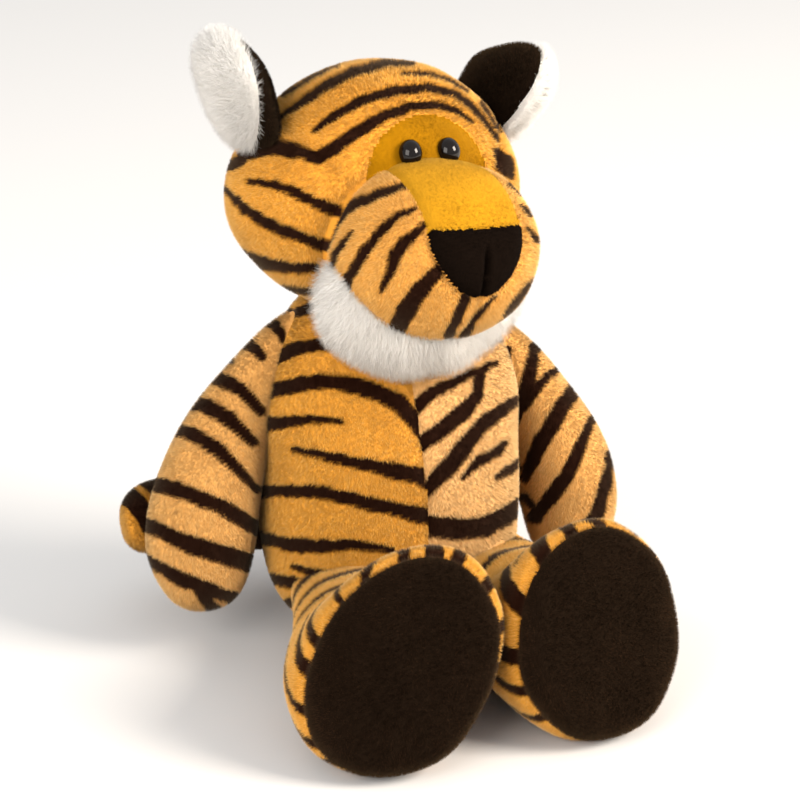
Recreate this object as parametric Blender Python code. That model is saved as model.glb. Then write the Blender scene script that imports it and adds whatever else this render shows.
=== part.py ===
"""A sitting plush tiger: sewn covers over stuffing, a stuffed muzzle, safety eyes and limbs that fold at their seams.

Metres, +Z up. The tiger faces -Y and its own left side is +X. The origin is under the middle of the toy, on the floor.
"""
import math

import bmesh
import bpy
from mathutils import Matrix, Vector

# Cloth and seams
SEAM_GAP = 0.0003
CLOTH = 0.003
OVERRUN = 0.02
WELD = 0.000005
SMOOTH_BELOW = math.radians(40)
FLOOR_CUT = 0.0005

# Torso
TORSO_HEIGHT = 0.204
TORSO_HALF_WIDTH = 0.067
TORSO_HALF_DEPTH = 0.060
TORSO_LEAN = 0.004
SEAT_SQUASH = 0.006
SEAT_PANEL_RADIUS = 0.030
PELLET_BAG_RADIUS = 0.037
PELLET_BAG_HEIGHT = 0.030

# Head
HEAD_ABOVE_TORSO = 0.036
HEAD_FORWARD = 0.002
HEAD_ASIDE = -0.0085
HEAD_HALF_WIDTH = 0.0720
HEAD_HALF_DEPTH = 0.060
HEAD_HALF_HEIGHT = 0.061
HEAD_TURN = math.radians(9.5)
HEAD_NOD = math.radians(2)
HEAD_ROLL = math.radians(5)
CROWN_SEAM_SLOPE = math.radians(44)
CROWN_SEAM_OFFSET = 0.018
FOREHEAD_HALF_WIDTH = 0.036
FOREHEAD_HALF_HEIGHT = 0.030
FOREHEAD_RISE = 0.0135

# Neck band between head and torso
NECK_BAND_RADIUS = 0.028
NECK_CLEAR_RADIUS = 0.046
NECK_CLEAR_RISE_SHARE = 0.7
TRAVEL_CLEARANCE = 0.001

# How far the joints go
TURN_REACH = math.radians(25)
TIP_REACH = math.radians(12)
ARM_REACH = math.radians(70)
LEG_FOLD_REACH = math.radians(40)
TAIL_SWING_REACH = math.radians(40)
EAR_FOLD_REACH = math.radians(12)

# Eyes
EYE_HALF_WIDTH = 0.0050
EYE_HALF_HEIGHT = 0.0059
EYE_DOME = 0.0048
EYE_SPACING = 0.0208
EYE_RISE = 0.0285
SHANK_RADIUS = 0.0020
SHANK_LENGTH = 0.0110
SHANK_CLEARANCE = 0.0003
WASHER_RADIUS = 0.0055
WASHER_THICKNESS = 0.0015

# Muzzle
MUZZLE_HALF_WIDTH = 0.053
MUZZLE_HALF_DEPTH = 0.045
MUZZLE_HALF_HEIGHT = 0.044
MUZZLE_FORWARD = 0.057
MUZZLE_DROP = 0.0155
TOP_PATCH_HALF_WIDTH = 0.025
NOSE_HALF_WIDTH = 0.026
NOSE_TOP = 0.022
NOSE_HEIGHT = 0.032
NOSE_PUFF = 0.0025

# Beard
BEARD_HALF_WIDTH = 0.053
BEARD_HALF_DEPTH = 0.030
BEARD_HALF_HEIGHT = 0.042
BEARD_FORWARD = 0.050
BEARD_DROP = 0.041

# Ears
EAR_HEIGHT = 0.047
EAR_HALF_WIDTH = 0.031
EAR_HALF_THICKNESS = 0.012
EAR_OUT = 0.065
EAR_RISE = 0.029
EAR_BACK = 0.012
EAR_LEAN = math.radians(22)
EAR_SEAM_OFFSET = 0.003

# Arms
SHOULDER_DROP = 0.030
SHOULDER_BACK = 0.006
ARM_ROOT_DEPTH = 0.008
ARM_STAGGER = 0.003
ARM_LENGTH = 0.158
ARM_HALF_WIDTH = 0.030
ARM_HALF_DEPTH = 0.030
ARM_SLOPE = math.radians(19)
ARM_BOW = 0.020
ARM_RAISE_HEADING = math.radians(12)

# Legs
HIP_SPACING = 0.066
LEGS_ASIDE = 0.0045
HIP_HEIGHT = 0.035
LEG_REACH = 0.152
LEG_SPLAY = math.radians(6.5)
SOLE_HALF_WIDTH = 0.049
SOLE_HALF_HEIGHT = 0.052
SOLE_DEPTH = 0.012
FOLD_REACH_SHARE = 0.95
FOLD_RISE_SHARE = 0.86
SOLE_TURN = math.radians(5)
SOLE_TILT = math.radians(14)

# Tail
TAIL_RADIUS = 0.022
TAIL_REACH = 0.126
TAIL_ROOT_HEIGHT = 0.036
TAIL_RISE = 0.016
TAIL_BOW = 0.020
TAIL_ROOT_SHARE = 0.86
TAIL_TIP_SHARE = 0.96

RIGHT = -1
LEFT = 1
SIDE_NAMES = {RIGHT: "right", LEFT: "left"}
DOWN = Vector((0, 0, -1))
UP = Vector((0, 0, 1))
FORWARD = Vector((0, -1, 0))
SIDEWAYS = Vector((1, 0, 0))

# Rings and segments of each form: the outer surface, and the plainer stuffing behind it
TORSO_MESH = (16, 28)
HEAD_MESH = (15, 28)
MUZZLE_MESH = (13, 24)
LIMB_MESH = (13, 18)
TAIL_MESH = (10, 14)
EAR_MESH = (9, 16)
ROUND_STEPS = 24
SHANK_STEPS = 14

MATERIALS = {
    "tiger_plush": ((0.76, 0.36, 0.08), 0.9),
    "gold_plush": ((0.86, 0.44, 0.02), 0.9),
    "black_plush": ((0.02, 0.013, 0.010), 0.9),
    "white_fur": ((0.84, 0.78, 0.68), 0.95),
    "eye_plastic": ((0.01, 0.01, 0.01), 0.1),
    "washer_plastic": ((0.85, 0.85, 0.85), 0.4),
    "polyester_fibre": ((0.9, 0.9, 0.9), 1.0),
    "cotton": ((0.8, 0.76, 0.68), 0.9),
}


def material(name):
    """The named material, made once."""
    known = bpy.data.materials.get(name)
    if known:
        return known
    colour, roughness = MATERIALS[name]
    made = bpy.data.materials.new(name)
    made.use_nodes = True
    shader = made.node_tree.nodes["Principled BSDF"]
    shader.inputs["Base Color"].default_value = (*colour, 1)
    shader.inputs["Roughness"].default_value = roughness
    shader.inputs["Metallic"].default_value = 0
    return made


def swell_at(shares, along):
    """A smooth curve through evenly spaced shares, read at a place between 0 and 1."""
    last = len(shares) - 1
    span = min(int(along * last), last - 1)
    t = along * last - span
    points = [shares[min(max(span + step, 0), last)] for step in (-1, 0, 1, 2)]
    before, here, after, beyond = points
    return 0.5 * (
        2 * here
        + (after - before) * t
        + (2 * before - 5 * here + 4 * after - beyond) * t**2
        + (3 * here - before - 3 * after + beyond) * t**3
    )


class Form:
    """A stuffed shape: oval rings along an axis that may bow, rounded at both ends."""

    def __init__(self, start, end, side, half_side, half_across, side_shares=(1, 1), across_shares=None,
                 fullness_share=1.0, bow=Vector(), mesh=LIMB_MESH, floor=None, lean_shares=(0, 0)):
        self.start, self.end, self.bow = start, end, bow
        self.ahead = (end - start).normalized()
        self.lean_shares = lean_shares
        self.side = side.normalized()
        self.across = (end - start).cross(self.side).normalized()
        self.half_side, self.half_across = half_side, half_across
        self.side_shares = side_shares
        self.across_shares = across_shares or side_shares
        self.fullness_share, self.mesh, self.floor = fullness_share, mesh, floor

    def centre(self, along):
        return self.start.lerp(self.end, along) + self.bow * (4 * along * (1 - along))

    def point(self, turn, angle):
        along = (1 - math.cos(turn)) / 2
        width = math.sin(turn) ** self.fullness_share
        aside = self.half_side * swell_at(self.side_shares, along) * width * math.cos(angle)
        over = self.half_across * swell_at(self.across_shares, along) * width * math.sin(angle)
        lean = (aside * self.lean_shares[0] + over * self.lean_shares[1]) * along**3
        place = self.centre(along) + self.side * aside + self.across * over + self.ahead * lean
        if self.floor is not None:
            place.z = max(place.z, self.floor)
        return place

    def solid(self, name, inset=0, plain=False):
        """A closed mesh of the form, moved inwards along its normals by the inset. A plain one has half the rings."""
        rings, segments = [count // 2 if plain else count for count in self.mesh]
        bm = bmesh.new()
        first = bm.verts.new(self.centre(0))
        loops = []
        for ring in range(1, rings):
            turn = math.pi * ring / rings
            loops.append([bm.verts.new(self.point(turn, math.tau * step / segments)) for step in range(segments)])
        last = bm.verts.new(self.centre(1))
        if self.floor is not None:
            first.co.z = max(first.co.z, self.floor)
        for step in range(segments):
            after = (step + 1) % segments
            bm.faces.new((first, loops[0][after], loops[0][step]))
            bm.faces.new((last, loops[-1][step], loops[-1][after]))
            for lower, upper in zip(loops, loops[1:]):
                bm.faces.new((lower[step], lower[after], upper[after], upper[step]))
        bmesh.ops.recalc_face_normals(bm, faces=bm.faces)
        bm.normal_update()
        if inset:
            moves = [(vert, vert.normal * -inset) for vert in bm.verts]
            for vert, move in moves:
                vert.co += move
        return object_from(bm, name)


def object_from(bm, name):
    """A new object in the scene from a mesh in the making, its normals outwards."""
    bmesh.ops.recalc_face_normals(bm, faces=bm.faces)
    mesh = bpy.data.meshes.new(name)
    bm.to_mesh(mesh)
    bm.free()
    ob = bpy.data.objects.new(name, mesh)
    bpy.context.collection.objects.link(ob)
    return ob


def ball(name, centre, radius):
    bm = bmesh.new()
    place = Matrix.Translation(centre)
    bmesh.ops.create_uvsphere(bm, u_segments=TORSO_MESH[1], v_segments=TORSO_MESH[0], radius=radius, matrix=place)
    return object_from(bm, name)


def rod(name, centre, axis, radius, length, steps=ROUND_STEPS):
    """A cylinder about an axis, centred on a place."""
    bm = bmesh.new()
    turn = UP.rotation_difference(axis).to_matrix().to_4x4()
    bmesh.ops.create_cone(bm, cap_ends=True, segments=steps, radius1=radius, radius2=radius, depth=length,
                          matrix=Matrix.Translation(centre) @ turn)
    return object_from(bm, name)


def block(name, low, high):
    """A box between two corners."""
    bm = bmesh.new()
    middle, spread = (low + high) / 2, high - low
    place = Matrix.Translation(middle) @ Matrix.Diagonal((*spread, 1))
    bmesh.ops.create_cube(bm, size=1, matrix=place)
    return object_from(bm, name)


def half_space(name, point, normal, reach):
    """A big box whose one face lies on a plane, on the side that the normal points to."""
    box = block(name, Vector((-reach, -reach, 0)), Vector((reach, reach, 2 * reach)))
    turn = UP.rotation_difference(normal).to_matrix().to_4x4()
    box.data.transform(Matrix.Translation(point) @ turn)
    return box


def prism(name, outline, axis_start, axis_end):
    """An outline in X and Z, drawn out along Y between two places."""
    bm = bmesh.new()
    near = [bm.verts.new((x, axis_start, z)) for x, z in outline]
    far = [bm.verts.new((x, axis_end, z)) for x, z in outline]
    bm.faces.new(near)
    bm.faces.new(list(reversed(far)))
    count = len(outline)
    for step in range(count):
        after = (step + 1) % count
        bm.faces.new((near[after], near[step], far[step], far[after]))
    return object_from(bm, name)


def discard(*objects):
    for ob in objects:
        bpy.data.objects.remove(ob)


def weld(mesh):
    """Takes out the slivers that a Boolean leaves."""
    work = bmesh.new()
    work.from_mesh(mesh)
    bmesh.ops.remove_doubles(work, verts=work.verts, dist=WELD)
    bmesh.ops.dissolve_degenerate(work, edges=work.edges, dist=WELD)
    work.to_mesh(mesh)
    work.free()
    return mesh


def combine(ob, cutter, operation):
    """Applies one Boolean to an object and leaves the cutter as it is."""
    modifier = ob.modifiers.new(operation, "BOOLEAN")
    modifier.operation = operation
    modifier.object = cutter
    modifier.solver = "EXACT"
    bpy.context.view_layer.update()
    evaluated = ob.evaluated_get(bpy.context.evaluated_depsgraph_get())
    mesh = bpy.data.meshes.new_from_object(evaluated)
    ob.modifiers.clear()
    ob.data = weld(mesh)
    return ob


def cut(ob, *cutters):
    for cutter in cutters:
        combine(ob, cutter, "DIFFERENCE")
    return ob


def keep(ob, *regions):
    for region in regions:
        combine(ob, region, "INTERSECT")
    return ob


def join_up(cutters):
    """Makes one cutter of several that overlap."""
    first, *others = cutters
    for other in others:
        combine(first, other, "UNION")
        discard(other)
    return first


def copy_of(ob, name):
    twin = bpy.data.objects.new(name, ob.data.copy())
    bpy.context.collection.objects.link(twin)
    return twin


def empty(name, place, parent=None):
    """An empty at a joint, in world place whatever its parent."""
    mark = bpy.data.objects.new(name, None)
    bpy.context.collection.objects.link(mark)
    mark.parent = parent
    bpy.context.view_layer.update()
    mark.matrix_world = place
    bpy.context.view_layer.update()
    return mark


def shell_of(vertex):
    """The vertices that hang together with one."""
    shell = {vertex}
    front = [vertex]
    while front:
        here = front.pop()
        for edge in here.link_edges:
            other = edge.other_vert(here)
            if other not in shell:
                shell.add(other)
                front.append(other)
    return shell


def trim_snippets(mesh):
    """Throws away the snippets that a cut leaves beside the piece."""
    work = bmesh.new()
    work.from_mesh(mesh)
    left = list(work.verts)
    shells = []
    while left:
        shell = shell_of(left[0])
        shells.append(shell)
        left = [vertex for vertex in left if vertex not in shell]
    shells.sort(key=len)
    for shell in shells[:-1]:
        bmesh.ops.delete(work, geom=list(shell), context="VERTS")
    work.to_mesh(mesh)
    work.free()


def finish(ob, name, carrier, stuff):
    """Names a piece, gives it its material and hangs it on the empty of its body without moving it."""
    trim_snippets(ob.data)
    ob.name = name
    ob.data.name = name
    ob.data.transform(carrier.matrix_world.inverted() @ ob.matrix_world)
    ob.parent = carrier
    ob.matrix_parent_inverse = Matrix()
    ob.matrix_basis = Matrix()
    ob.data.materials.clear()
    ob.data.materials.append(material(stuff))
    ob.data.shade_smooth()
    ob.data.set_sharp_from_angle(angle=SMOOTH_BELOW)
    bpy.context.view_layer.update()
    return ob


# Places that several pieces share
HEAD_CENTRE = Vector((HEAD_ASIDE, -HEAD_FORWARD, TORSO_HEIGHT + HEAD_ABOVE_TORSO))
NECK_IN = HEAD_HALF_HEIGHT + SEAM_GAP
NECK_OUT = NECK_IN + CLOTH
DISH = NECK_OUT + SEAM_GAP


def head_place():
    """Where the head stands: turned to the tiger's left, nodded and leaned."""
    turn = Matrix.Rotation(HEAD_TURN, 4, "Z")
    nod = Matrix.Rotation(HEAD_NOD, 4, "X")
    roll = Matrix.Rotation(HEAD_ROLL, 4, "Y")
    return Matrix.Translation(HEAD_CENTRE) @ turn @ nod @ roll


def torso_form():
    width_shares = (0.92, 1.08, 1.04, 1.0, 1.04, 0.97, 0.72)
    depth_shares = (0.92, 1.05, 1.06, 1.0, 0.96, 0.86, 0.66)
    lean = Vector((0, TORSO_LEAN, 0))
    return Form(Vector((0, 0, -SEAT_SQUASH)), Vector((0, 0, TORSO_HEIGHT)) + lean, SIDEWAYS, TORSO_HALF_WIDTH,
                TORSO_HALF_DEPTH, width_shares, depth_shares, fullness_share=0.62, mesh=TORSO_MESH,
                floor=-FLOOR_CUT)


def head_form():
    """In the head's own place, with its middle at the origin."""
    width_shares = (0.94, 1.05, 1.05, 0.97, 0.88)
    depth_shares = (0.92, 0.98, 0.97, 0.88, 0.76)
    return Form(DOWN * HEAD_HALF_HEIGHT, UP * HEAD_HALF_HEIGHT, SIDEWAYS, HEAD_HALF_WIDTH, HEAD_HALF_DEPTH,
                width_shares, depth_shares, fullness_share=0.84, mesh=HEAD_MESH)


def muzzle_middle():
    return FORWARD * MUZZLE_FORWARD + DOWN * MUZZLE_DROP


def muzzle_form():
    """In the head's own place."""
    middle = muzzle_middle()
    reach = FORWARD * MUZZLE_HALF_DEPTH
    shares = (1.0, 1.0, 1.0, 0.98, 0.95)
    return Form(middle - reach, middle + reach, SIDEWAYS, MUZZLE_HALF_WIDTH, MUZZLE_HALF_HEIGHT, shares,
                fullness_share=0.86, mesh=MUZZLE_MESH)


def beard_form():
    """In the head's own place."""
    middle = FORWARD * BEARD_FORWARD + DOWN * BEARD_DROP
    reach = FORWARD * BEARD_HALF_DEPTH
    return Form(middle - reach, middle + reach, SIDEWAYS, BEARD_HALF_WIDTH, BEARD_HALF_HEIGHT,
                fullness_share=0.9, mesh=TAIL_MESH)


def ear_place(side):
    """The ear's hinge place in the head's own place: its Z runs up the ear and its Y along the fold."""
    root = Vector((side * EAR_OUT, EAR_BACK, EAR_RISE))
    return Matrix.Translation(root) @ Matrix.Rotation(side * EAR_LEAN, 4, "Y")


def ear_form():
    """In the ear's own place: turned about the fold below it, drawn up above it."""
    shares = (1.0, 1.0, 1.0, 1.05, 0.95)
    return Form(DOWN * EAR_HALF_THICKNESS, UP * EAR_HEIGHT, SIDEWAYS, EAR_HALF_THICKNESS, EAR_HALF_WIDTH,
                shares, fullness_share=0.75, mesh=EAR_MESH)


def shoulder(side):
    """Top of the seam between an arm and the torso, on the torso's surface."""
    form = torso_form()
    along = 1 - SHOULDER_DROP / TORSO_HEIGHT
    angle = math.radians(180) if side == RIGHT else 0
    return form.point(math.acos(1 - 2 * along), angle) + Vector((0, SHOULDER_BACK, 0))


def arm_axis(side):
    """The arm swings up outwards and a little forwards about this axis."""
    heading = Vector((side * math.cos(ARM_RAISE_HEADING), -math.sin(ARM_RAISE_HEADING), 0))
    return DOWN.cross(heading)


def arm_form(side):
    """From inside the shoulder, bowed outwards, to the round hand."""
    top = shoulder(side) + Vector((-side * ARM_ROOT_DEPTH, 0, -side * ARM_STAGGER))
    down = Vector((side * math.sin(ARM_SLOPE), 0, -math.cos(ARM_SLOPE)))
    shares = (0.55, 0.68, 0.84, 0.96, 1.02)
    return Form(top, top + down * ARM_LENGTH, SIDEWAYS, ARM_HALF_WIDTH, ARM_HALF_DEPTH, shares,
                fullness_share=0.66, mesh=LIMB_MESH, bow=Vector((side * ARM_BOW, 0, 0)))


def leg_heading(side, extra=0):
    angle = side * (LEG_SPLAY + extra)
    return Vector((math.sin(angle), -math.cos(angle), 0))


def hip(side):
    return Vector((LEGS_ASIDE + side * HIP_SPACING / 2, 0, HIP_HEIGHT))


def sole_middle(side):
    foot = hip(side) + leg_heading(side) * LEG_REACH
    foot.z = SOLE_HALF_HEIGHT * math.cos(SOLE_TILT) - FLOOR_CUT
    return foot


def sole_normal(side):
    level = leg_heading(side, SOLE_TURN) * math.cos(SOLE_TILT)
    return level + UP * math.sin(SOLE_TILT)


def leg_form(side):
    """Rounded at the hip, nearly flat at the sole, which leans back and turns out."""
    flat = Vector((-leg_heading(side).y, leg_heading(side).x, 0))
    side_shares = (0.60, 0.62, 0.68, 0.80, 0.96, 1.05, 1.05)
    up_shares = (0.56, 0.60, 0.66, 0.80, 0.96, 1.04, 1.04)
    leans = (-side * math.tan(SOLE_TURN), -math.tan(SOLE_TILT))
    return Form(hip(side), sole_middle(side), flat, SOLE_HALF_WIDTH, SOLE_HALF_HEIGHT, side_shares, up_shares,
                fullness_share=0.17, mesh=LIMB_MESH, lean_shares=leans)


def leg_fold(side):
    """Top of the seam between a leg and the belly, where the leg folds up."""
    reach = TORSO_HALF_DEPTH * FOLD_REACH_SHARE
    return hip(side) + leg_heading(side) * reach + UP * (SOLE_HALF_HEIGHT * FOLD_RISE_SHARE)


def tail_form():
    start = Vector((0, TORSO_HALF_DEPTH * TAIL_ROOT_SHARE, TAIL_ROOT_HEIGHT))
    end = Vector((-TAIL_REACH, TORSO_HALF_DEPTH * TAIL_TIP_SHARE, TAIL_ROOT_HEIGHT + TAIL_RISE))
    return Form(start, end, UP, TAIL_RADIUS, TAIL_RADIUS, (0.9, 1.0, 1.05), fullness_share=0.55,
                bow=Vector((0, TAIL_BOW, 0)), mesh=TAIL_MESH)


def stuffed(form, name):
    """The outer solid of a cover, the hollow inside it and the stuffing that fills the hollow."""
    outer = form.solid(name + "_outer")
    hollow = form.solid(name + "_hollow", CLOTH, plain=True)
    filling = form.solid(name + "_filling", CLOTH + SEAM_GAP, plain=True)
    return outer, hollow, filling


def hang(carrier, *objects):
    """Gives meshes that were made in the carrier's own place the carrier as parent."""
    for ob in objects:
        ob.parent = carrier
    bpy.context.view_layer.update()
    return objects


def turned_about(place, axis, angle):
    """A turn about an axis through a place."""
    return Matrix.Translation(place) @ Matrix.Rotation(angle, 4, axis) @ Matrix.Translation(-place)


def travel_zones(blocker, place, axis, angles):
    """Where a fixed blocker gets to, seen from a piece that turns through the angles."""
    zones = []
    for angle in angles:
        zone = copy_of(blocker, "travel_zone")
        zone.data.transform(turned_about(place, axis, -angle))
        zones.append(zone)
    return zones


def steps_to(reach, count):
    return [reach * step / count for step in range(count + 1)]


def head_zone(head, torso_blocker):
    """What the turning and tipping head keeps clear of: the torso beyond the neck's ball, and the neck band."""
    inward = head.matrix_world.inverted()
    tip_axis = -head.matrix_world.to_3x3().col[0]
    zones = []
    for turn in (-TURN_REACH, 0, TURN_REACH):
        for tip in (0, TIP_REACH):
            pose = turned_about(HEAD_CENTRE, UP, turn) @ turned_about(HEAD_CENTRE, tip_axis, tip)
            zone = copy_of(torso_blocker, "head_zone")
            zone.data.transform(inward @ pose.inverted())
            zones.append(zone)
    zone = join_up(zones)
    room = ball("room", Vector(), HEAD_HALF_HEIGHT)
    well = rod("well", DOWN * HEAD_HALF_HEIGHT, UP, NECK_CLEAR_RADIUS, HEAD_HALF_HEIGHT * NECK_CLEAR_RISE_SHARE)
    hang(head, zone, room, well)
    cut(zone, room)
    combine(zone, well, "UNION")
    discard(room, well)
    return zone


def build_torso(root):
    """Two cover halves sewn front and back, a seat panel, stuffing and a pellet bag. Returns the torso's envelope."""
    form = torso_form()
    outer, hollow, filling = stuffed(form, "torso")
    floor = half_space("floor", Vector(), DOWN, TORSO_HEIGHT)
    dish = ball("dish", HEAD_CENTRE, DISH)
    seat_hole = rod("seat_hole", Vector(), UP, SEAT_PANEL_RADIUS + SEAM_GAP, OVERRUN)
    for side in (RIGHT, LEFT):
        half = half_space("half", SIDEWAYS * (side * SEAM_GAP / 2), SIDEWAYS * side, TORSO_HEIGHT)
        cover = keep(copy_of(outer, "cover"), half)
        cut(cover, hollow, dish, floor, seat_hole)
        finish(cover, "torso_cover_" + SIDE_NAMES[side], root, "tiger_plush")
        discard(half)
    seat = rod("seat", UP * (CLOTH - FLOOR_CUT) / 2, UP, SEAT_PANEL_RADIUS, CLOTH - FLOOR_CUT)
    finish(seat, "seat_panel", root, "tiger_plush")
    bag_low = UP * (CLOTH + SEAM_GAP)
    bag = Form(bag_low, bag_low + UP * PELLET_BAG_HEIGHT, SIDEWAYS, PELLET_BAG_RADIUS, PELLET_BAG_RADIUS,
               fullness_share=0.6, mesh=TAIL_MESH)
    pocket = bag.solid("pocket", -SEAM_GAP)
    cut(filling, dish, pocket)
    finish(filling, "torso_stuffing", root, "polyester_fibre")
    finish(bag.solid("bag"), "pellet_bag", root, "cotton")
    discard(outer, hollow, dish, pocket, seat_hole, floor)
    return form.solid("torso_envelope", -SEAM_GAP)


def build_neck(neck):
    """A bowl of cloth between the head and the dish in the torso's top."""
    bowl = ball("bowl", HEAD_CENTRE, NECK_OUT)
    inner = ball("inner", HEAD_CENTRE, NECK_IN)
    well = rod("well", HEAD_CENTRE + DOWN * NECK_OUT, UP, NECK_BAND_RADIUS, NECK_OUT)
    keep(bowl, well)
    cut(bowl, inner)
    finish(bowl, "neck_band", neck, "tiger_plush")
    discard(inner, well)


def crown_seam(side, shift):
    """The region outside one seam between crown and cheek, in the head's own place."""
    normal = Vector((side * math.cos(CROWN_SEAM_SLOPE), 0, -math.sin(CROWN_SEAM_SLOPE)))
    return half_space("beyond_seam", normal * (CROWN_SEAM_OFFSET + shift), normal, 3 * HEAD_HALF_WIDTH)


def oval_outline(middle, half_width, half_height, steps=ROUND_STEPS):
    turns = [math.tau * step / steps for step in range(steps)]
    return [(half_width * math.cos(t), middle + half_height * math.sin(t)) for t in turns]


def nose_outline(grow):
    """A soft triangle with its point down, in the head's own X and Z."""
    side_shares = ((1.0, 0.90), (0.97, 0.70), (0.86, 0.50), (0.66, 0.28), (0.40, 0.10), (0.15, 0.01))
    top_shares = ((-0.90, 0.97), (-0.45, 1.0), (0.0, 0.99), (0.45, 1.0), (0.90, 0.97))
    left = [(-x, z) for x, z in side_shares]
    shares = list(side_shares) + list(reversed(left)) + list(top_shares)
    low = muzzle_middle().z + NOSE_TOP - NOSE_HEIGHT
    middle = NOSE_HEIGHT / 2
    wide, tall = NOSE_HALF_WIDTH + grow, (NOSE_HEIGHT + 2 * grow) / NOSE_HEIGHT
    return [(x * wide, low + middle + (z * NOSE_HEIGHT - middle) * tall) for x, z in reversed(shares)]


def build_ears(head):
    for side in (RIGHT, LEFT):
        hinge = empty("ear_" + SIDE_NAMES[side] + "_fold", head.matrix_world @ ear_place(side), head)
        form = ear_form()
        blockers = []
        for fold in (-EAR_FOLD_REACH, 0, EAR_FOLD_REACH):
            blocker = head_form().solid("head_blocker", -SEAM_GAP)
            blocker.data.transform(Matrix.Rotation(-fold, 4, "Y") @ ear_place(side).inverted())
            blockers.append(blocker)
        hang(hinge, *blockers)
        for name, stuff, inward in (("black", "black_plush", 1), ("white", "white_fur", -1)):
            ear = form.solid("ear")
            normal = SIDEWAYS * (-side * inward)
            seam = Vector((side * (EAR_SEAM_OFFSET - inward * SEAM_GAP / 2), 0, 0))
            half = half_space("half", seam, normal, EAR_HEIGHT * 2)
            hang(hinge, ear, half)
            keep(ear, half)
            cut(ear, *blockers)
            finish(ear, f"ear_{name}_panel_{SIDE_NAMES[side]}", hinge, stuff)
            discard(half)
        discard(*blockers)


def build_eye(head, side, patch, filling, outer):
    """A domed plastic eye with its shank through the patch, and its lock washer. Returns the room of the dome."""
    start = Vector((side * EYE_SPACING / 2, 0, EYE_RISE))
    _, place, normal, _ = outer.ray_cast(start, FORWARD)
    turn = UP.rotation_difference(normal).to_matrix().to_4x4()
    upright = turn.inverted() @ UP
    spin = Matrix.Rotation(math.atan2(-upright.x, upright.y), 4, "Z")
    seat = Matrix.Translation(place + normal * SEAM_GAP) @ turn @ spin
    form = Form(DOWN * EYE_DOME, UP * EYE_DOME, SIDEWAYS, EYE_HALF_WIDTH, EYE_HALF_HEIGHT, mesh=TAIL_MESH)
    dome = form.solid("dome")
    room = form.solid("eye_room", -SEAM_GAP)
    above = half_space("above", Vector(), UP, OVERRUN)
    root = EYE_DOME / 2
    shank = rod("shank", UP * (root - SHANK_LENGTH) / 2, UP, SHANK_RADIUS, SHANK_LENGTH + root, SHANK_STEPS)
    behind = DOWN * (CLOTH + SEAM_GAP)
    lock = behind + DOWN * (SEAM_GAP + WASHER_THICKNESS / 2)
    washer = rod("washer", lock, UP, WASHER_RADIUS, WASHER_THICKNESS, SHANK_STEPS)
    hole = rod("hole", Vector(), UP, SHANK_RADIUS + SHANK_CLEARANCE, 4 * SHANK_LENGTH, SHANK_STEPS)
    depth = SHANK_LENGTH + CLOTH
    pocket = rod("pocket", behind + DOWN * depth / 2, UP, WASHER_RADIUS + SEAM_GAP, depth, SHANK_STEPS)
    for ob in (dome, room, above, shank, washer, hole, pocket):
        ob.data.transform(seat)
    hang(head, dome, room, above, shank, washer, hole, pocket)
    keep(dome, above)
    combine(dome, shank, "UNION")
    cut(washer, hole)
    cut(patch, hole, pocket)
    cut(filling, pocket)
    finish(dome, "eye_" + SIDE_NAMES[side], head, "eye_plastic")
    finish(washer, "eye_washer_" + SIDE_NAMES[side], head, "washer_plastic")
    discard(above, shank, hole, pocket)
    return room


def build_head(head, neck_zone):
    """Crown, cheeks, forehead patch, stuffing and eyes. Returns the head's envelope and the eyes' rooms."""
    form = head_form()
    outer, hollow, filling = hang(head, *stuffed(form, "head"))
    envelope = form.solid("head_envelope", -SEAM_GAP)
    hang(head, envelope)
    brow = oval_outline(FOREHEAD_RISE, FOREHEAD_HALF_WIDTH, FOREHEAD_HALF_HEIGHT)
    brow_hole = oval_outline(FOREHEAD_RISE, FOREHEAD_HALF_WIDTH + SEAM_GAP, FOREHEAD_HALF_HEIGHT + SEAM_GAP)
    front = -2 * HEAD_HALF_DEPTH
    brow_cutter = prism("brow_hole", brow_hole, front, 0)
    brow_keeper = prism("brow", brow, front, 0)
    seams = [crown_seam(side, -SEAM_GAP / 2) for side in (RIGHT, LEFT)]
    cheeks = [crown_seam(side, SEAM_GAP / 2) for side in (RIGHT, LEFT)]
    hang(head, brow_cutter, brow_keeper, *seams, *cheeks)
    crown = copy_of(outer, "crown")
    patch = copy_of(outer, "patch")
    hang(head, crown, patch)
    cut(crown, *seams, brow_cutter, hollow, neck_zone)
    keep(patch, brow_keeper)
    cut(patch, hollow)
    for side, region in zip((RIGHT, LEFT), cheeks):
        cheek = copy_of(outer, "cheek")
        hang(head, cheek)
        half = half_space("half", SIDEWAYS * (side * SEAM_GAP / 2), SIDEWAYS * side, 3 * HEAD_HALF_WIDTH)
        hang(head, half)
        keep(cheek, region, half)
        cut(cheek, hollow, brow_cutter, neck_zone)
        discard(half)
        finish(cheek, "cheek_panel_" + SIDE_NAMES[side], head, "tiger_plush")
    cut(filling, neck_zone)
    eye_rooms = [build_eye(head, side, patch, filling, outer) for side in (RIGHT, LEFT)]
    finish(crown, "head_crown_panel", head, "tiger_plush")
    finish(patch, "forehead_patch", head, "gold_plush")
    finish(filling, "head_stuffing", head, "polyester_fibre")
    discard(outer, hollow, brow_cutter, brow_keeper, *seams, *cheeks)
    return envelope, eye_rooms


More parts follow.
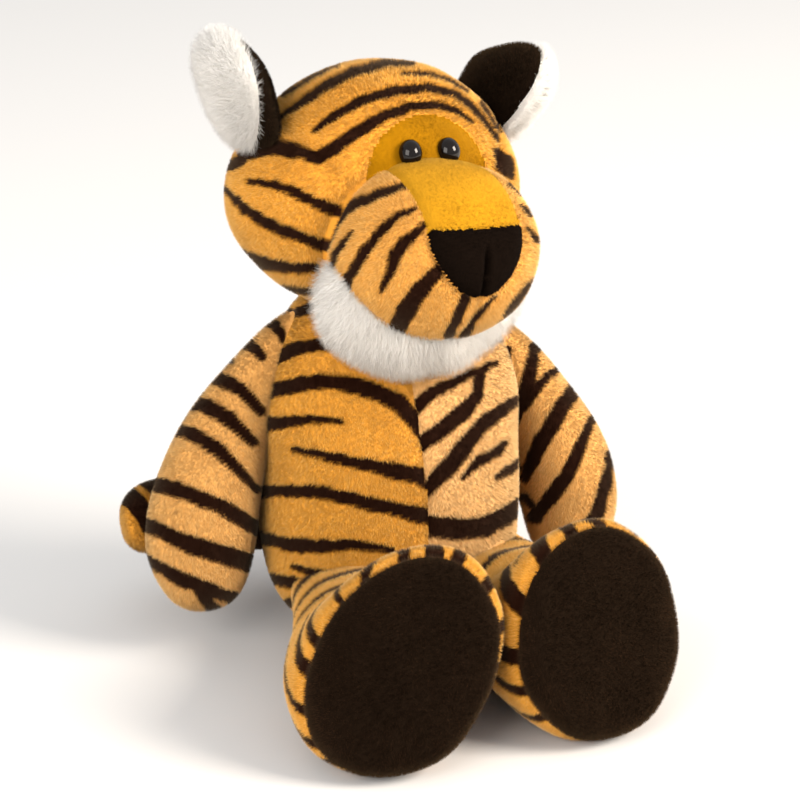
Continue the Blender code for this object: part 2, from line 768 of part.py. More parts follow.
def build_muzzle(head, head_envelope, neck_zone, eye_rooms):
    """Side panels, gold top, nose and stuffing, open at the back where the muzzle is sewn on. Returns its envelope."""
    form = muzzle_form()
    outer, hollow, filling = hang(head, *stuffed(form, "muzzle"))
    envelope = form.solid("muzzle_envelope", -SEAM_GAP)
    puffed = form.solid("puffed", -NOSE_PUFF)
    middle = muzzle_middle()
    front, tip = 2 * middle.y, middle.y
    nose_hole = prism("nose_hole", nose_outline(SEAM_GAP), front, tip)
    nose_keeper = prism("nose_keeper", nose_outline(0), front, tip)
    low = Vector((0, front, middle.z + NOSE_TOP - CLOTH))
    high = Vector((0, OVERRUN, middle.z + 2 * MUZZLE_HALF_HEIGHT))
    across = SIDEWAYS * TOP_PATCH_HALF_WIDTH
    gap = Vector((SEAM_GAP, 0, 0))
    top_keeper = block("top_keeper", low - across, high + across)
    top_hole = block("top_hole", low - across - gap + DOWN * SEAM_GAP, high + across + gap)
    hang(head, envelope, puffed, nose_hole, nose_keeper, top_keeper, top_hole)
    top = copy_of(outer, "top")
    hang(head, top)
    keep(top, top_keeper)
    cut(top, hollow, nose_hole, head_envelope, *eye_rooms)
    finish(top, "muzzle_top_patch", head, "gold_plush")
    for side in (RIGHT, LEFT):
        half = half_space("half", SIDEWAYS * (side * SEAM_GAP / 2), SIDEWAYS * side, 3 * HEAD_HALF_WIDTH)
        panel = copy_of(outer, "panel")
        hang(head, half, panel)
        keep(panel, half)
        cut(panel, hollow, top_hole, nose_hole, head_envelope, neck_zone, *eye_rooms)
        finish(panel, "muzzle_side_panel_" + SIDE_NAMES[side], head, "tiger_plush")
        discard(half)
    keep(puffed, nose_keeper)
    cut(puffed, hollow)
    finish(puffed, "nose", head, "black_plush")
    cut(filling, head_envelope, neck_zone)
    finish(filling, "muzzle_stuffing", head, "polyester_fibre")
    discard(outer, hollow, nose_hole, nose_keeper, top_keeper, top_hole)
    return envelope


def build_beard(head, *zones):
    beard = beard_form().solid("beard")
    hang(head, beard)
    cut(beard, *zones)
    finish(beard, "beard", head, "white_fur")


def build_arm(hinge, side, torso_envelope, torso_blocker):
    outer, hollow, filling = stuffed(arm_form(side), "arm")
    zones = travel_zones(torso_blocker, shoulder(side), arm_axis(side), steps_to(ARM_REACH, 4)[1:])
    cut(outer, hollow, torso_envelope, *zones)
    cut(filling, torso_envelope, *zones)
    finish(outer, "arm_cover_" + SIDE_NAMES[side], hinge, "tiger_plush")
    finish(filling, "arm_stuffing_" + SIDE_NAMES[side], hinge, "polyester_fibre")
    discard(hollow, *zones)


def build_leg(hinge, side, torso_envelope):
    """A cover open at the hip, a black sole and stuffing."""
    form = leg_form(side)
    outer, hollow, filling = stuffed(form, "leg")
    floor = half_space("floor", Vector(), DOWN, TORSO_HEIGHT)
    middle = SIDEWAYS * (LEGS_ASIDE + side * SEAM_GAP)
    between = half_space("between", middle, SIDEWAYS * -side, TORSO_HEIGHT)
    normal = sole_normal(side)
    seam = sole_middle(side) - normal * SOLE_DEPTH
    ahead = half_space("ahead", seam + normal * (SEAM_GAP / 2), normal, TORSO_HEIGHT)
    behind = half_space("behind", seam - normal * (SEAM_GAP / 2), normal, TORSO_HEIGHT)
    under = half_space("under", UP * CLOTH, DOWN, TORSO_HEIGHT)
    under_filling = half_space("under_filling", UP * (CLOTH + SEAM_GAP), DOWN, TORSO_HEIGHT)
    cut(hollow, under)
    cut(filling, under_filling)
    sole = keep(copy_of(outer, "sole"), ahead)
    cut(sole, hollow, floor)
    cut(outer, behind, hollow, torso_envelope, floor, between)
    cut(filling, torso_envelope, between)
    finish(outer, "leg_cover_" + SIDE_NAMES[side], hinge, "tiger_plush")
    finish(sole, "sole_" + SIDE_NAMES[side], hinge, "black_plush")
    finish(filling, "leg_stuffing_" + SIDE_NAMES[side], hinge, "polyester_fibre")
    discard(hollow, floor, under, under_filling, between, ahead, behind)


def build_tail(hinge, torso_envelope, torso_blocker):
    form = tail_form()
    outer, hollow, filling = stuffed(form, "tail")
    zones = travel_zones(torso_blocker, form.start, DOWN, steps_to(TAIL_SWING_REACH, 2)[1:])
    cut(outer, hollow, torso_envelope, *zones)
    cut(filling, torso_envelope, *zones)
    finish(outer, "tail_cover", hinge, "tiger_plush")
    finish(filling, "tail_stuffing", hinge, "polyester_fibre")
    discard(hollow, *zones)


def centre_on_floor(root):
    """Moves the whole toy so that the middle of its box is over the origin."""
    pieces = [ob for ob in bpy.data.objects if ob.type == "MESH"]
    points = [ob.matrix_world @ vert.co for ob in pieces for vert in ob.data.vertices]
    low = Vector(min(point[axis] for point in points) for axis in range(3))
    high = Vector(max(point[axis] for point in points) for axis in range(3))
    middle = (low + high) / 2
    root.location = (-middle.x, -middle.y, -low.z)
    bpy.context.view_layer.update()


def build():
    for ob in list(bpy.data.objects):
        bpy.data.objects.remove(ob)
    root = empty("torso", Matrix())
    neck = empty("neck_turn", Matrix.Translation(HEAD_CENTRE), root)
    head = empty("head_nod", head_place(), neck)
    torso_envelope = build_torso(root)
    torso_blocker = torso_form().solid("torso_blocker", -TRAVEL_CLEARANCE)
    build_neck(neck)
    neck_zone = head_zone(head, torso_blocker)
    head_envelope, eye_rooms = build_head(head, neck_zone)
    muzzle_envelope = build_muzzle(head, head_envelope, neck_zone, eye_rooms)
    build_beard(head, head_envelope, muzzle_envelope, neck_zone)
    build_ears(head)
    for side in (RIGHT, LEFT):
        arm_hinge = empty("arm_raise_" + SIDE_NAMES[side], Matrix.Translation(shoulder(side)), root)
        build_arm(arm_hinge, side, torso_envelope, torso_blocker)
        leg_hinge = empty("leg_raise_" + SIDE_NAMES[side], Matrix.Translation(leg_fold(side)), root)
        build_leg(leg_hinge, side, torso_envelope)
    tail_hinge = empty("tail_swing", Matrix.Translation(tail_form().start), root)
    build_tail(tail_hinge, torso_envelope, torso_blocker)
    discard(torso_envelope, torso_blocker, head_envelope, muzzle_envelope, neck_zone, *eye_rooms)
    centre_on_floor(root)
    for mark in bpy.data.objects:
        if mark.type == "EMPTY":
            print("joint", mark.name, [round(value, 5) for value in mark.matrix_world.translation],
                  [round(value, 4) for value in mark.matrix_world.to_3x3().col[0]],
                  [round(value, 4) for value in mark.matrix_world.to_3x3().col[1]])


build()
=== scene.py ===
"""A sitting plush tiger: stuffed skins under real pile, long fur at ears and beard, and polished safety eyes.

Metres, +Z up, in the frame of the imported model. The tiger faces -Y and its own left side is +X.
"""
import math

import bpy
import numpy as np
from mathutils import Matrix, Vector
from mathutils.kdtree import KDTree


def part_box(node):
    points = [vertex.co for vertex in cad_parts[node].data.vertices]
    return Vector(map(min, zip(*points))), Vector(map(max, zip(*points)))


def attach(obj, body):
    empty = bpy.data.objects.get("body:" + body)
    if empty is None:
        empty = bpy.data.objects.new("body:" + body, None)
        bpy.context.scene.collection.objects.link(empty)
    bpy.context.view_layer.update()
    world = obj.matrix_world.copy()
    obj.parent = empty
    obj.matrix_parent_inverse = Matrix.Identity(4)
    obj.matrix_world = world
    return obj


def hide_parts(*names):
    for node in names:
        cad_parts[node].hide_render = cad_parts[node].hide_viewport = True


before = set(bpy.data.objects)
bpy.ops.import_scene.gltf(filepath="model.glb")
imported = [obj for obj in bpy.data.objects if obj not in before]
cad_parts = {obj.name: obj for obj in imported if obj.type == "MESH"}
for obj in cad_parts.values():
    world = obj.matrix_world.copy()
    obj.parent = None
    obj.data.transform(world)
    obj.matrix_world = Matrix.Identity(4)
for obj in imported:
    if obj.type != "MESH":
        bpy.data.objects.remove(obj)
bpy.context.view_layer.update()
MM = 0.001

# The same sizes as the solids
TORSO_HEIGHT = 0.204
TORSO_HALF_WIDTH = 0.067
TORSO_HALF_DEPTH = 0.060
TORSO_LEAN = 0.004
SEAT_SQUASH = 0.006
HEAD_ABOVE_TORSO = 0.036
HEAD_FORWARD = 0.002
HEAD_ASIDE = -0.0085
HEAD_HALF_WIDTH = 0.0720
HEAD_HALF_DEPTH = 0.060
HEAD_HALF_HEIGHT = 0.061
HEAD_TURN = math.radians(9.5)
HEAD_NOD = math.radians(2)
HEAD_ROLL = math.radians(5)
CROWN_SEAM_SLOPE = math.radians(44)
CROWN_SEAM_OFFSET = 0.018
FOREHEAD_HALF_WIDTH = 0.036
FOREHEAD_HALF_HEIGHT = 0.030
FOREHEAD_RISE = 0.0135
EYE_HALF_WIDTH = 0.0050
EYE_HALF_HEIGHT = 0.0059
EYE_DOME = 0.0054
EYE_SPACING = 0.0208
EYE_RISE = 0.0290
MUZZLE_HALF_WIDTH = 0.053
MUZZLE_HALF_DEPTH = 0.045
MUZZLE_HALF_HEIGHT = 0.044
MUZZLE_FORWARD = 0.057
MUZZLE_DROP = 0.0155
TOP_PATCH_HALF_WIDTH = 0.025
NOSE_HALF_WIDTH = 0.026
NOSE_TOP = 0.022
NOSE_HEIGHT = 0.032
BEARD_HALF_WIDTH = 0.053
BEARD_HALF_DEPTH = 0.030
BEARD_HALF_HEIGHT = 0.042
BEARD_FORWARD = 0.050
BEARD_DROP = 0.041
EAR_HEIGHT = 0.047
EAR_HALF_WIDTH = 0.031
EAR_HALF_THICKNESS = 0.012
EAR_OUT = 0.065
EAR_RISE = 0.029
EAR_BACK = 0.012
EAR_LEAN = math.radians(22)
EAR_SEAM_OFFSET = 0.003
SHOULDER_DROP = 0.030
SHOULDER_BACK = 0.006
ARM_ROOT_DEPTH = 0.008
ARM_STAGGER = 0.003
ARM_LENGTH = 0.158
ARM_HALF_WIDTH = 0.030
ARM_HALF_DEPTH = 0.030
ARM_SLOPE = math.radians(19)
ARM_BOW = 0.020
HIP_SPACING = 0.066
LEGS_ASIDE = 0.0045
HIP_HEIGHT = 0.035
LEG_REACH = 0.152
LEG_SPLAY = math.radians(6.5)
SOLE_HALF_WIDTH = 0.049
SOLE_HALF_HEIGHT = 0.052
SOLE_DEPTH = 0.012
SOLE_TURN = math.radians(5)
SOLE_TILT = math.radians(14)
TAIL_RADIUS = 0.022
TAIL_REACH = 0.126
TAIL_ROOT_HEIGHT = 0.036
TAIL_RISE = 0.016
TAIL_BOW = 0.020
TAIL_ROOT_SHARE = 0.86
TAIL_TIP_SHARE = 0.96
NECK_BAND_RADIUS = 0.028

RIGHT, LEFT = -1, 1
SIDE_NAMES = {RIGHT: "right", LEFT: "left"}
X_AXIS, Y_AXIS, Z_AXIS = np.eye(3)

# The skins stand this far inside the solids' outside, so that the pile ends near it
SKIN_INSET = 0.0012

# Pile: its length, its tufts' width at the foot and how many stand on a square millimetre
NAP = 0.0024
TUFT_WIDTH = 0.00027
PILE_PER_MM2 = 4.6
BEARD_PER_MM2 = 2.8
EAR_FUR_PER_MM2 = 5.0
# Short pile of the gold patches and the nose
FINE_PILE = {"nap": 0.0011, "width": 0.00022, "per_mm2": 7.5, "spread": 0.09,
             "lean": 0.7}

rng = np.random.default_rng(7)


def seat_middle():
    low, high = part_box("seat_panel")
    return np.array([(low.x + high.x) / 2, (low.y + high.y) / 2, low.z])


SHIFT = Matrix.Translation(Vector(seat_middle()))
HEAD_CENTRE = Vector((HEAD_ASIDE, -HEAD_FORWARD, TORSO_HEIGHT + HEAD_ABOVE_TORSO))
HEAD_PLACE = (SHIFT @ Matrix.Translation(HEAD_CENTRE) @ Matrix.Rotation(HEAD_TURN, 4, "Z")
              @ Matrix.Rotation(HEAD_NOD, 4, "X") @ Matrix.Rotation(HEAD_ROLL, 4, "Y"))


def groove(gap, depth, spread):
    """A soft furrow: its full depth where the gap is none, and hardly any twice the spread away."""
    return depth * np.exp(-(gap / spread) ** 2)


def ease(low, high, value):
    """0 below low, 1 above high, smooth between."""
    t = np.clip((value - low) / (high - low), 0, 1)
    return t * t * (3 - 2 * t)


def carry(matrix, points, turn_only=False):
    """Points or directions taken through a matrix."""
    m = np.array(matrix)
    moved = points @ m[:3, :3].T
    return moved if turn_only else moved + m[:3, 3]


def unit(v):
    return v / np.maximum(np.linalg.norm(v, axis=-1, keepdims=True), 1e-12)


# Camera: where the photograph was taken from
CAMERA_AZIMUTH = math.radians(-20)
CAMERA_RISE = math.radians(20)
CAMERA_DISTANCE = 1.3
CAMERA_AIM_HEIGHT = 0.15
FRAME_PX = 800
SENSOR_MM = 36
FOCAL_PX = 2600
MM_PER_PX = 1000 * CAMERA_DISTANCE / FOCAL_PX
AIM_PX = np.array([390.0, 354.1])
BACK = np.array([math.sin(CAMERA_AZIMUTH) * math.cos(CAMERA_RISE),
                 -math.cos(CAMERA_AZIMUTH) * math.cos(CAMERA_RISE), math.sin(CAMERA_RISE)])
ACROSS = np.array([math.cos(CAMERA_AZIMUTH), math.sin(CAMERA_AZIMUTH), 0.0])
LIFT = np.cross(BACK, ACROSS)
AIM = seat_middle() + np.array([0, 0, CAMERA_AIM_HEIGHT])
EYE_POINT = AIM + BACK * CAMERA_DISTANCE


def to_frame(points):
    """Where points fall in the 800-pixel frame."""
    q = points - AIM
    depth = CAMERA_DISTANCE - q @ BACK
    return np.stack([AIM_PX[0] + FOCAL_PX * (q @ ACROSS) / depth,
                     AIM_PX[1] - FOCAL_PX * (q @ LIFT) / depth], 1)


def curve_at(shares, along):
    """A smooth curve through evenly spaced shares."""
    shares = np.asarray(shares, float)
    last = len(shares) - 1
    span = np.clip((along * last).astype(int), 0, last - 1)
    t = along * last - span
    before, here, after, beyond = [shares[np.clip(span + step, 0, last)] for step in (-1, 0, 1, 2)]
    squared = 2 * before - 5 * here + 4 * after - beyond
    cubed = 3 * here - before - 3 * after + beyond
    return 0.5 * (2 * here + (after - before) * t + squared * t**2 + cubed * t**3)


class Form:
    """A stuffed shape: oval rings along an axis that may bow, rounded at both ends."""

    def __init__(self, start, end, side, half_side, half_across, side_shares=(1, 1), across_shares=None,
                 fullness=1.0, bow=(0, 0, 0), floor=None, leans=(0, 0), place=SHIFT):
        self.start = np.array(start, float)
        self.end = np.array(end, float)
        self.bow = np.array(bow, float)
        self.length = np.linalg.norm(self.end - self.start)
        self.ahead = (self.end - self.start) / self.length
        self.side = unit(np.array(side, float))
        self.across = unit(np.cross(self.end - self.start, self.side))
        self.half_side, self.half_across = half_side, half_across
        self.side_shares, self.across_shares = side_shares, across_shares or side_shares
        self.fullness, self.floor, self.leans, self.place = fullness, floor, leans, place

    def centre(self, along):
        along = np.asarray(along, float)[..., None]
        return self.start * (1 - along) + self.end * along + self.bow * (4 * along * (1 - along))

    def points(self, turn, angle):
        along = (1 - np.cos(turn)) / 2
        width = np.sin(turn) ** self.fullness
        aside = self.half_side * curve_at(self.side_shares, along) * width * np.cos(angle)
        over = self.half_across * curve_at(self.across_shares, along) * width * np.sin(angle)
        lean = (aside * self.leans[0] + over * self.leans[1]) * along**3
        place = (self.centre(along) + self.side * aside[..., None] + self.across * over[..., None]
                 + self.ahead * lean[..., None])
        if self.floor is not None:
            place[..., 2] = np.maximum(place[..., 2], self.floor)
        return place

    def parts(self, points):
        """A point's share along the axis, and how far it lies aside and over from there."""
        along = np.clip(((points - self.start) @ self.ahead) / self.length, 1e-4, 1 - 1e-4)
        out = points - self.centre(along)
        return along, out @ self.side, out @ self.across

    def halves(self, along):
        """Half sizes of the ring at a share along the axis, aside and over."""
        width = np.sin(np.arccos(1 - 2 * along)) ** self.fullness
        return (self.half_side * curve_at(self.side_shares, along) * width,
                self.half_across * curve_at(self.across_shares, along) * width)

    def gap(self, points):
        """About how far points lie outside the form, in metres."""
        along, aside, over = self.parts(points)
        a, b = self.halves(along)
        return (np.hypot(aside / a, over / b) - 1) * np.minimum(a, b)

    def holds(self, points, spare=0.0):
        """Which points, in the form's own place, lie inside it by more than the spare."""
        level = ((points - self.start) @ self.ahead) / self.length
        along, aside, over = self.parts(points)
        half_side, half_across = self.halves(along)
        a = aside / np.maximum(half_side - spare, 1e-5)
        b = over / np.maximum(half_across - spare, 1e-5)
        return (level > 0) & (level < 1) & (a * a + b * b < 1)


def world_holds(form, points, spare=0.0):
    return form.holds(carry(form.place.inverted(), points), spare)


# The forms, each in the place that it hangs on
TORSO = Form((0, 0, -SEAT_SQUASH), (0, TORSO_LEAN, TORSO_HEIGHT), X_AXIS, TORSO_HALF_WIDTH, TORSO_HALF_DEPTH,
             (0.92, 1.08, 1.04, 1.0, 1.04, 0.97, 0.72), (0.92, 1.05, 1.06, 1.0, 0.96, 0.86, 0.66), 0.62,
             floor=0.0)
HEAD = Form((0, 0, -HEAD_HALF_HEIGHT), (0, 0, HEAD_HALF_HEIGHT), X_AXIS, HEAD_HALF_WIDTH, HEAD_HALF_DEPTH,
            (0.94, 1.05, 1.05, 0.97, 0.88), (0.92, 0.98, 0.97, 0.88, 0.76), 0.84, place=HEAD_PLACE)
MUZZLE_MIDDLE = np.array([0, -MUZZLE_FORWARD, -MUZZLE_DROP])
MUZZLE = Form(MUZZLE_MIDDLE + (0, MUZZLE_HALF_DEPTH, 0), MUZZLE_MIDDLE - (0, MUZZLE_HALF_DEPTH, 0), X_AXIS,
              MUZZLE_HALF_WIDTH, MUZZLE_HALF_HEIGHT, (1.0, 1.0, 1.0, 0.98, 0.95), None, 0.86,
              place=HEAD_PLACE)
BEARD_MIDDLE = np.array([0, -BEARD_FORWARD, -BEARD_DROP])
BEARD = Form(BEARD_MIDDLE + (0, BEARD_HALF_DEPTH, 0), BEARD_MIDDLE - (0, BEARD_HALF_DEPTH, 0), X_AXIS,
             BEARD_HALF_WIDTH, BEARD_HALF_HEIGHT, (1, 1), None, 0.9, place=HEAD_PLACE)


def ear_form(side):
    base = Matrix.Translation((side * EAR_OUT, EAR_BACK, EAR_RISE))
    hinge = base @ Matrix.Rotation(side * EAR_LEAN, 4, "Y")
    return Form((0, 0, -EAR_HALF_THICKNESS), (0, 0, EAR_HEIGHT), X_AXIS, EAR_HALF_THICKNESS, EAR_HALF_WIDTH,
                (1.0, 1.0, 1.0, 1.05, 0.95), None, 0.75, place=HEAD_PLACE @ hinge)


def arm_form(side):
    turn = np.arccos(1 - 2 * (1 - SHOULDER_DROP / TORSO_HEIGHT))
    flank = np.array(math.pi if side == RIGHT else 0.0)
    shoulder = TORSO.points(np.array(turn), flank) + (0, SHOULDER_BACK, 0)
    top = shoulder + (-side * ARM_ROOT_DEPTH, 0, -side * ARM_STAGGER)
    down = np.array([side * math.sin(ARM_SLOPE), 0, -math.cos(ARM_SLOPE)])
    return Form(top, top + down * ARM_LENGTH, X_AXIS, ARM_HALF_WIDTH, ARM_HALF_DEPTH,
                (0.55, 0.68, 0.84, 0.96, 1.02), None, 0.66, bow=(side * ARM_BOW, 0, 0))


def leg_heading(side, extra=0):
    angle = side * (LEG_SPLAY + extra)
    return np.array([math.sin(angle), -math.cos(angle), 0])


def hip(side):
    return np.array([LEGS_ASIDE + side * HIP_SPACING / 2, 0, HIP_HEIGHT])


def sole_middle(side):
    foot = hip(side) + leg_heading(side) * LEG_REACH
    foot[2] = SOLE_HALF_HEIGHT * math.cos(SOLE_TILT)
    return foot


def sole_normal(side):
    return leg_heading(side, SOLE_TURN) * math.cos(SOLE_TILT) + Z_AXIS * math.sin(SOLE_TILT)


def leg_form(side):
    flat = np.array([-leg_heading(side)[1], leg_heading(side)[0], 0])
    return Form(hip(side), sole_middle(side), flat, SOLE_HALF_WIDTH, SOLE_HALF_HEIGHT,
                (0.60, 0.62, 0.68, 0.80, 0.96, 1.05, 1.05), (0.56, 0.60, 0.66, 0.80, 0.96, 1.04, 1.04), 0.17,
                floor=0.0, leans=(-side * math.tan(SOLE_TURN), -math.tan(SOLE_TILT)))


TAIL = Form((0, TORSO_HALF_DEPTH * TAIL_ROOT_SHARE, TAIL_ROOT_HEIGHT),
            (-TAIL_REACH, TORSO_HALF_DEPTH * TAIL_TIP_SHARE, TAIL_ROOT_HEIGHT + TAIL_RISE), Z_AXIS,
            TAIL_RADIUS, TAIL_RADIUS, (0.9, 1.0, 1.05), None, 0.55, bow=(0, TAIL_BOW, 0))
ARMS = {side: arm_form(side) for side in (RIGHT, LEFT)}
LEGS = {side: leg_form(side) for side in (RIGHT, LEFT)}
EARS = {side: ear_form(side) for side in (RIGHT, LEFT)}


# Stripes, as lines drawn in the 800-pixel frame: x, y and width at each point
TORSO_RIGHT_STRIPES = (
    ((340, 330, 4), (375, 322, 9), (410, 326, 7), (440, 330, 4)),
    ((262, 318, 5), (289, 314, 5), (304, 311, 8), (320, 303, 6), (350, 292, 4)),
    ((276, 359, 8), (294, 349, 12), (317, 345, 10), (343, 344, 9), (361, 353, 6), (376, 363, 2)),
    ((250, 396, 9), (261, 392, 10), (292, 386, 13), (320, 381, 13), (350, 384, 14), (379, 392, 15),
     (400, 404, 15), (416, 422, 14), (428, 442, 9)),
    ((245, 428, 12), (255, 425, 13), (281, 422, 10), (313, 419, 6), (342, 421, 2)),
    ((294, 449, 3), (322, 454, 6), (350, 461, 9), (384, 468, 12), (426, 477, 16), (440, 480, 16)),
    ((247, 492, 10), (257, 491, 10), (285, 490, 9), (315, 491, 10), (350, 498, 11), (384, 506, 11),
     (431, 517, 14), (445, 520, 14)),
    ((250, 530, 8), (262, 536, 8), (290, 544, 12), (320, 546, 11), (350, 544, 8), (391, 549, 5)),
    ((294, 566, 3), (317, 572, 6), (345, 576, 5), (372, 583, 3)),
    ((254, 570, 7), (265, 576, 7), (290, 581, 9), (322, 590, 8), (360, 604, 7), (395, 612, 4)),
    ((262, 606, 8), (278, 606, 8), (294, 600, 6), (317, 596, 4)),
    ((270, 640, 8), (300, 634, 9), (340, 640, 9), (380, 652, 6)),
)
TORSO_LEFT_STRIPES = (
    ((378, 432, 6), (398, 420, 11), (415, 407, 12), (432, 393, 10), (450, 383, 8), (474, 372, 6),
     (496, 362, 3)),
    ((380, 484, 5), (404, 458, 10), (421, 444, 12), (442, 429, 14), (462, 412, 14), (477, 395, 10),
     (480, 372, 7)),
    ((384, 520, 4), (412, 502, 10), (429, 487, 11), (445, 469, 15), (462, 449, 15), (479, 427, 13),
     (497, 413, 11), (516, 398, 6)),
    ((463, 477, 3), (479, 460, 8), (495, 452, 8), (504, 443, 4)),
    ((497, 476, 4), (508, 469, 6), (520, 457, 4)),
    ((378, 530, 6), (404, 524, 14), (429, 525, 18), (456, 529, 19), (484, 526, 18), (504, 516, 15),
     (521, 500, 9), (532, 486, 7)),
    ((384, 552, 4), (420, 562, 9), (470, 566, 11), (500, 560, 10), (526, 546, 7)),
    ((384, 590, 4), (424, 602, 9), (470, 606, 11), (505, 598, 9), (530, 584, 6)),
    ((384, 366, 4), (420, 358, 9), (460, 350, 9), (500, 336, 6)),
    ((390, 330, 4), (430, 324, 9), (465, 318, 9), (495, 308, 5)),
)
HEAD_FRONT_STRIPES = (
    ((284, 96, 2), (290, 93, 3), (316, 77, 3), (340, 66, 2)),
    ((276, 121, 3), (300, 104, 7), (328, 86, 9), (353, 73, 8), (386, 65, 7), (413, 65, 3)),
    ((316, 130, 5), (337, 114, 8), (362, 101, 9), (392, 92, 8), (427, 88, 7), (452, 93, 6), (473, 108, 5),
     (489, 129, 4), (497, 140, 3)),
    ((318, 158, 11), (337, 146, 13), (362, 129, 11), (386, 115, 9), (410, 107, 8), (437, 105, 6),
     (456, 111, 5), (471, 122, 3)),
    ((402, 75, 2), (430, 75, 3), (454, 84, 3), (466, 93, 2)),
    ((480, 103, 3), (498, 132, 3)),
    ((495, 151, 6), (503, 163, 18), (509, 175, 8)),
    ((505, 195, 6), (520, 205, 9), (540, 222, 6)),
    ((505, 228, 5), (520, 240, 9), (545, 252, 6)),
    ((500, 262, 5), (520, 272, 8), (545, 276, 5)),
)
CHEEK_STRIPES = (
    ((225, 168, 8), (238, 163, 9), (248, 154, 12), (265, 148, 14), (285, 148, 14), (304, 153, 12),
     (318, 158, 11)),
    ((250, 181, 4), (276, 185, 8), (296, 192, 9), (315, 202, 10), (338, 211, 12)),
    ((222, 184, 3), (230, 191, 4), (245, 208, 9), (266, 222, 11), (291, 233, 11), (334, 248, 10)),
    ((222, 236, 7), (230, 243, 8), (248, 256, 11), (267, 262, 11), (291, 267, 10), (315, 267, 8)),
    ((262, 282, 3), (270, 283, 4), (291, 288, 5), (320, 291, 5)),
)
# In the frame these would lie behind the face
HEAD_BACK_STRIPES = (
    ((262, 130, 3), (296, 112, 8), (340, 98, 9), (392, 94, 8)),
    ((300, 96, 3), (338, 80, 7), (392, 76, 8)),
    ((318, 158, 11), (352, 146, 9), (400, 140, 8)),
    ((338, 211, 12), (376, 226, 10), (424, 233, 8), (474, 230, 4)),
    ((334, 248, 10), (376, 262, 9), (424, 268, 8), (462, 264, 3)),
    ((320, 291, 5), (366, 297, 8), (416, 301, 8), (456, 297, 4)),
    ((376, 194, 4), (410, 191, 8), (452, 194, 8), (500, 204, 7), (530, 214, 4)),
    ((430, 214, 3), (462, 212, 7), (498, 220, 7), (524, 232, 4)),
)
MUZZLE_STRIPES = (
    ((329, 246, 4), (335, 226, 8), (345, 211, 9), (364, 201, 9), (386, 192, 8), (407, 186, 5)),
    ((333, 270, 2), (337, 253, 5), (345, 241, 5), (352, 232, 3)),
    ((347, 304, 5), (346, 291, 8), (350, 277, 9), (364, 253, 9), (381, 231, 8), (398, 216, 7),
     (415, 209, 4)),
    ((382, 289, 4), (391, 272, 8), (396, 255, 12), (405, 243, 12), (424, 226, 7)),
    ((392, 340, 13), (403, 316, 18), (417, 294, 17), (437, 272, 12), (442, 264, 7)),
    ((449, 334, 8), (459, 311, 8), (466, 297, 8)),
    ((464, 334, 8), (480, 311, 5), (495, 296, 3)),
    ((497, 333, 12), (512, 308, 9), (526, 286, 6), (546, 266, 4)),
    ((527, 228, 2), (534, 238, 4), (550, 250, 4)),
    ((509, 186, 3), (518, 193, 5), (538, 198, 4)),
    ((521, 206, 2), (528, 214, 4), (546, 220, 3)),
)
RIGHT_ARM_STRIPES = (
    ((236, 346, 6), (251, 344, 8), (262, 356, 8)),
    ((215, 362, 3), (232, 361, 3)),
    ((200, 372, 4), (221, 379, 12), (239, 388, 12), (260, 410, 8)),
    ((183, 401, 8), (207, 406, 13), (228, 418, 13), (252, 441, 8)),
    ((165, 425, 5), (193, 434, 12), (219, 450, 12), (237, 468, 9), (256, 488, 5)),
    ((148, 481, 12), (189, 493, 13), (223, 507, 13), (262, 531, 12)),
    ((142, 520, 9), (177, 539, 14), (212, 551, 17), (268, 567, 15)),
    ((145, 556, 6), (180, 578, 12), (212, 590, 11), (246, 600, 8)),
    ((198, 588, 9), (214, 608, 11)),
    ((262, 318, 5), (276, 326, 8), (284, 340, 5)),
)
LEFT_ARM_STRIPES = (
    ((534, 346, 7), (529, 376, 11), (521, 404, 10), (510, 432, 6)),
    ((553, 371, 4), (537, 387, 8), (524, 408, 5)),
    ((572, 390, 12), (557, 415, 14), (540, 443, 14), (526, 476, 9)),
    ((590, 419, 5), (580, 446, 9), (566, 477, 12), (536, 516, 12)),
    ((608, 452, 4), (606, 480, 8), (597, 512, 11), (575, 545, 10)),
    ((494, 398, 8), (497, 406, 8)),
    ((503, 432, 7), (508, 440, 7)),
    ((512, 460, 7), (517, 467, 6)),
    ((526, 496, 6), (532, 504, 5)),
    ((622, 528, 5), (600, 548, 7), (572, 566, 5)),
    ((508, 350, 5), (504, 372, 8), (496, 388, 4)),
)
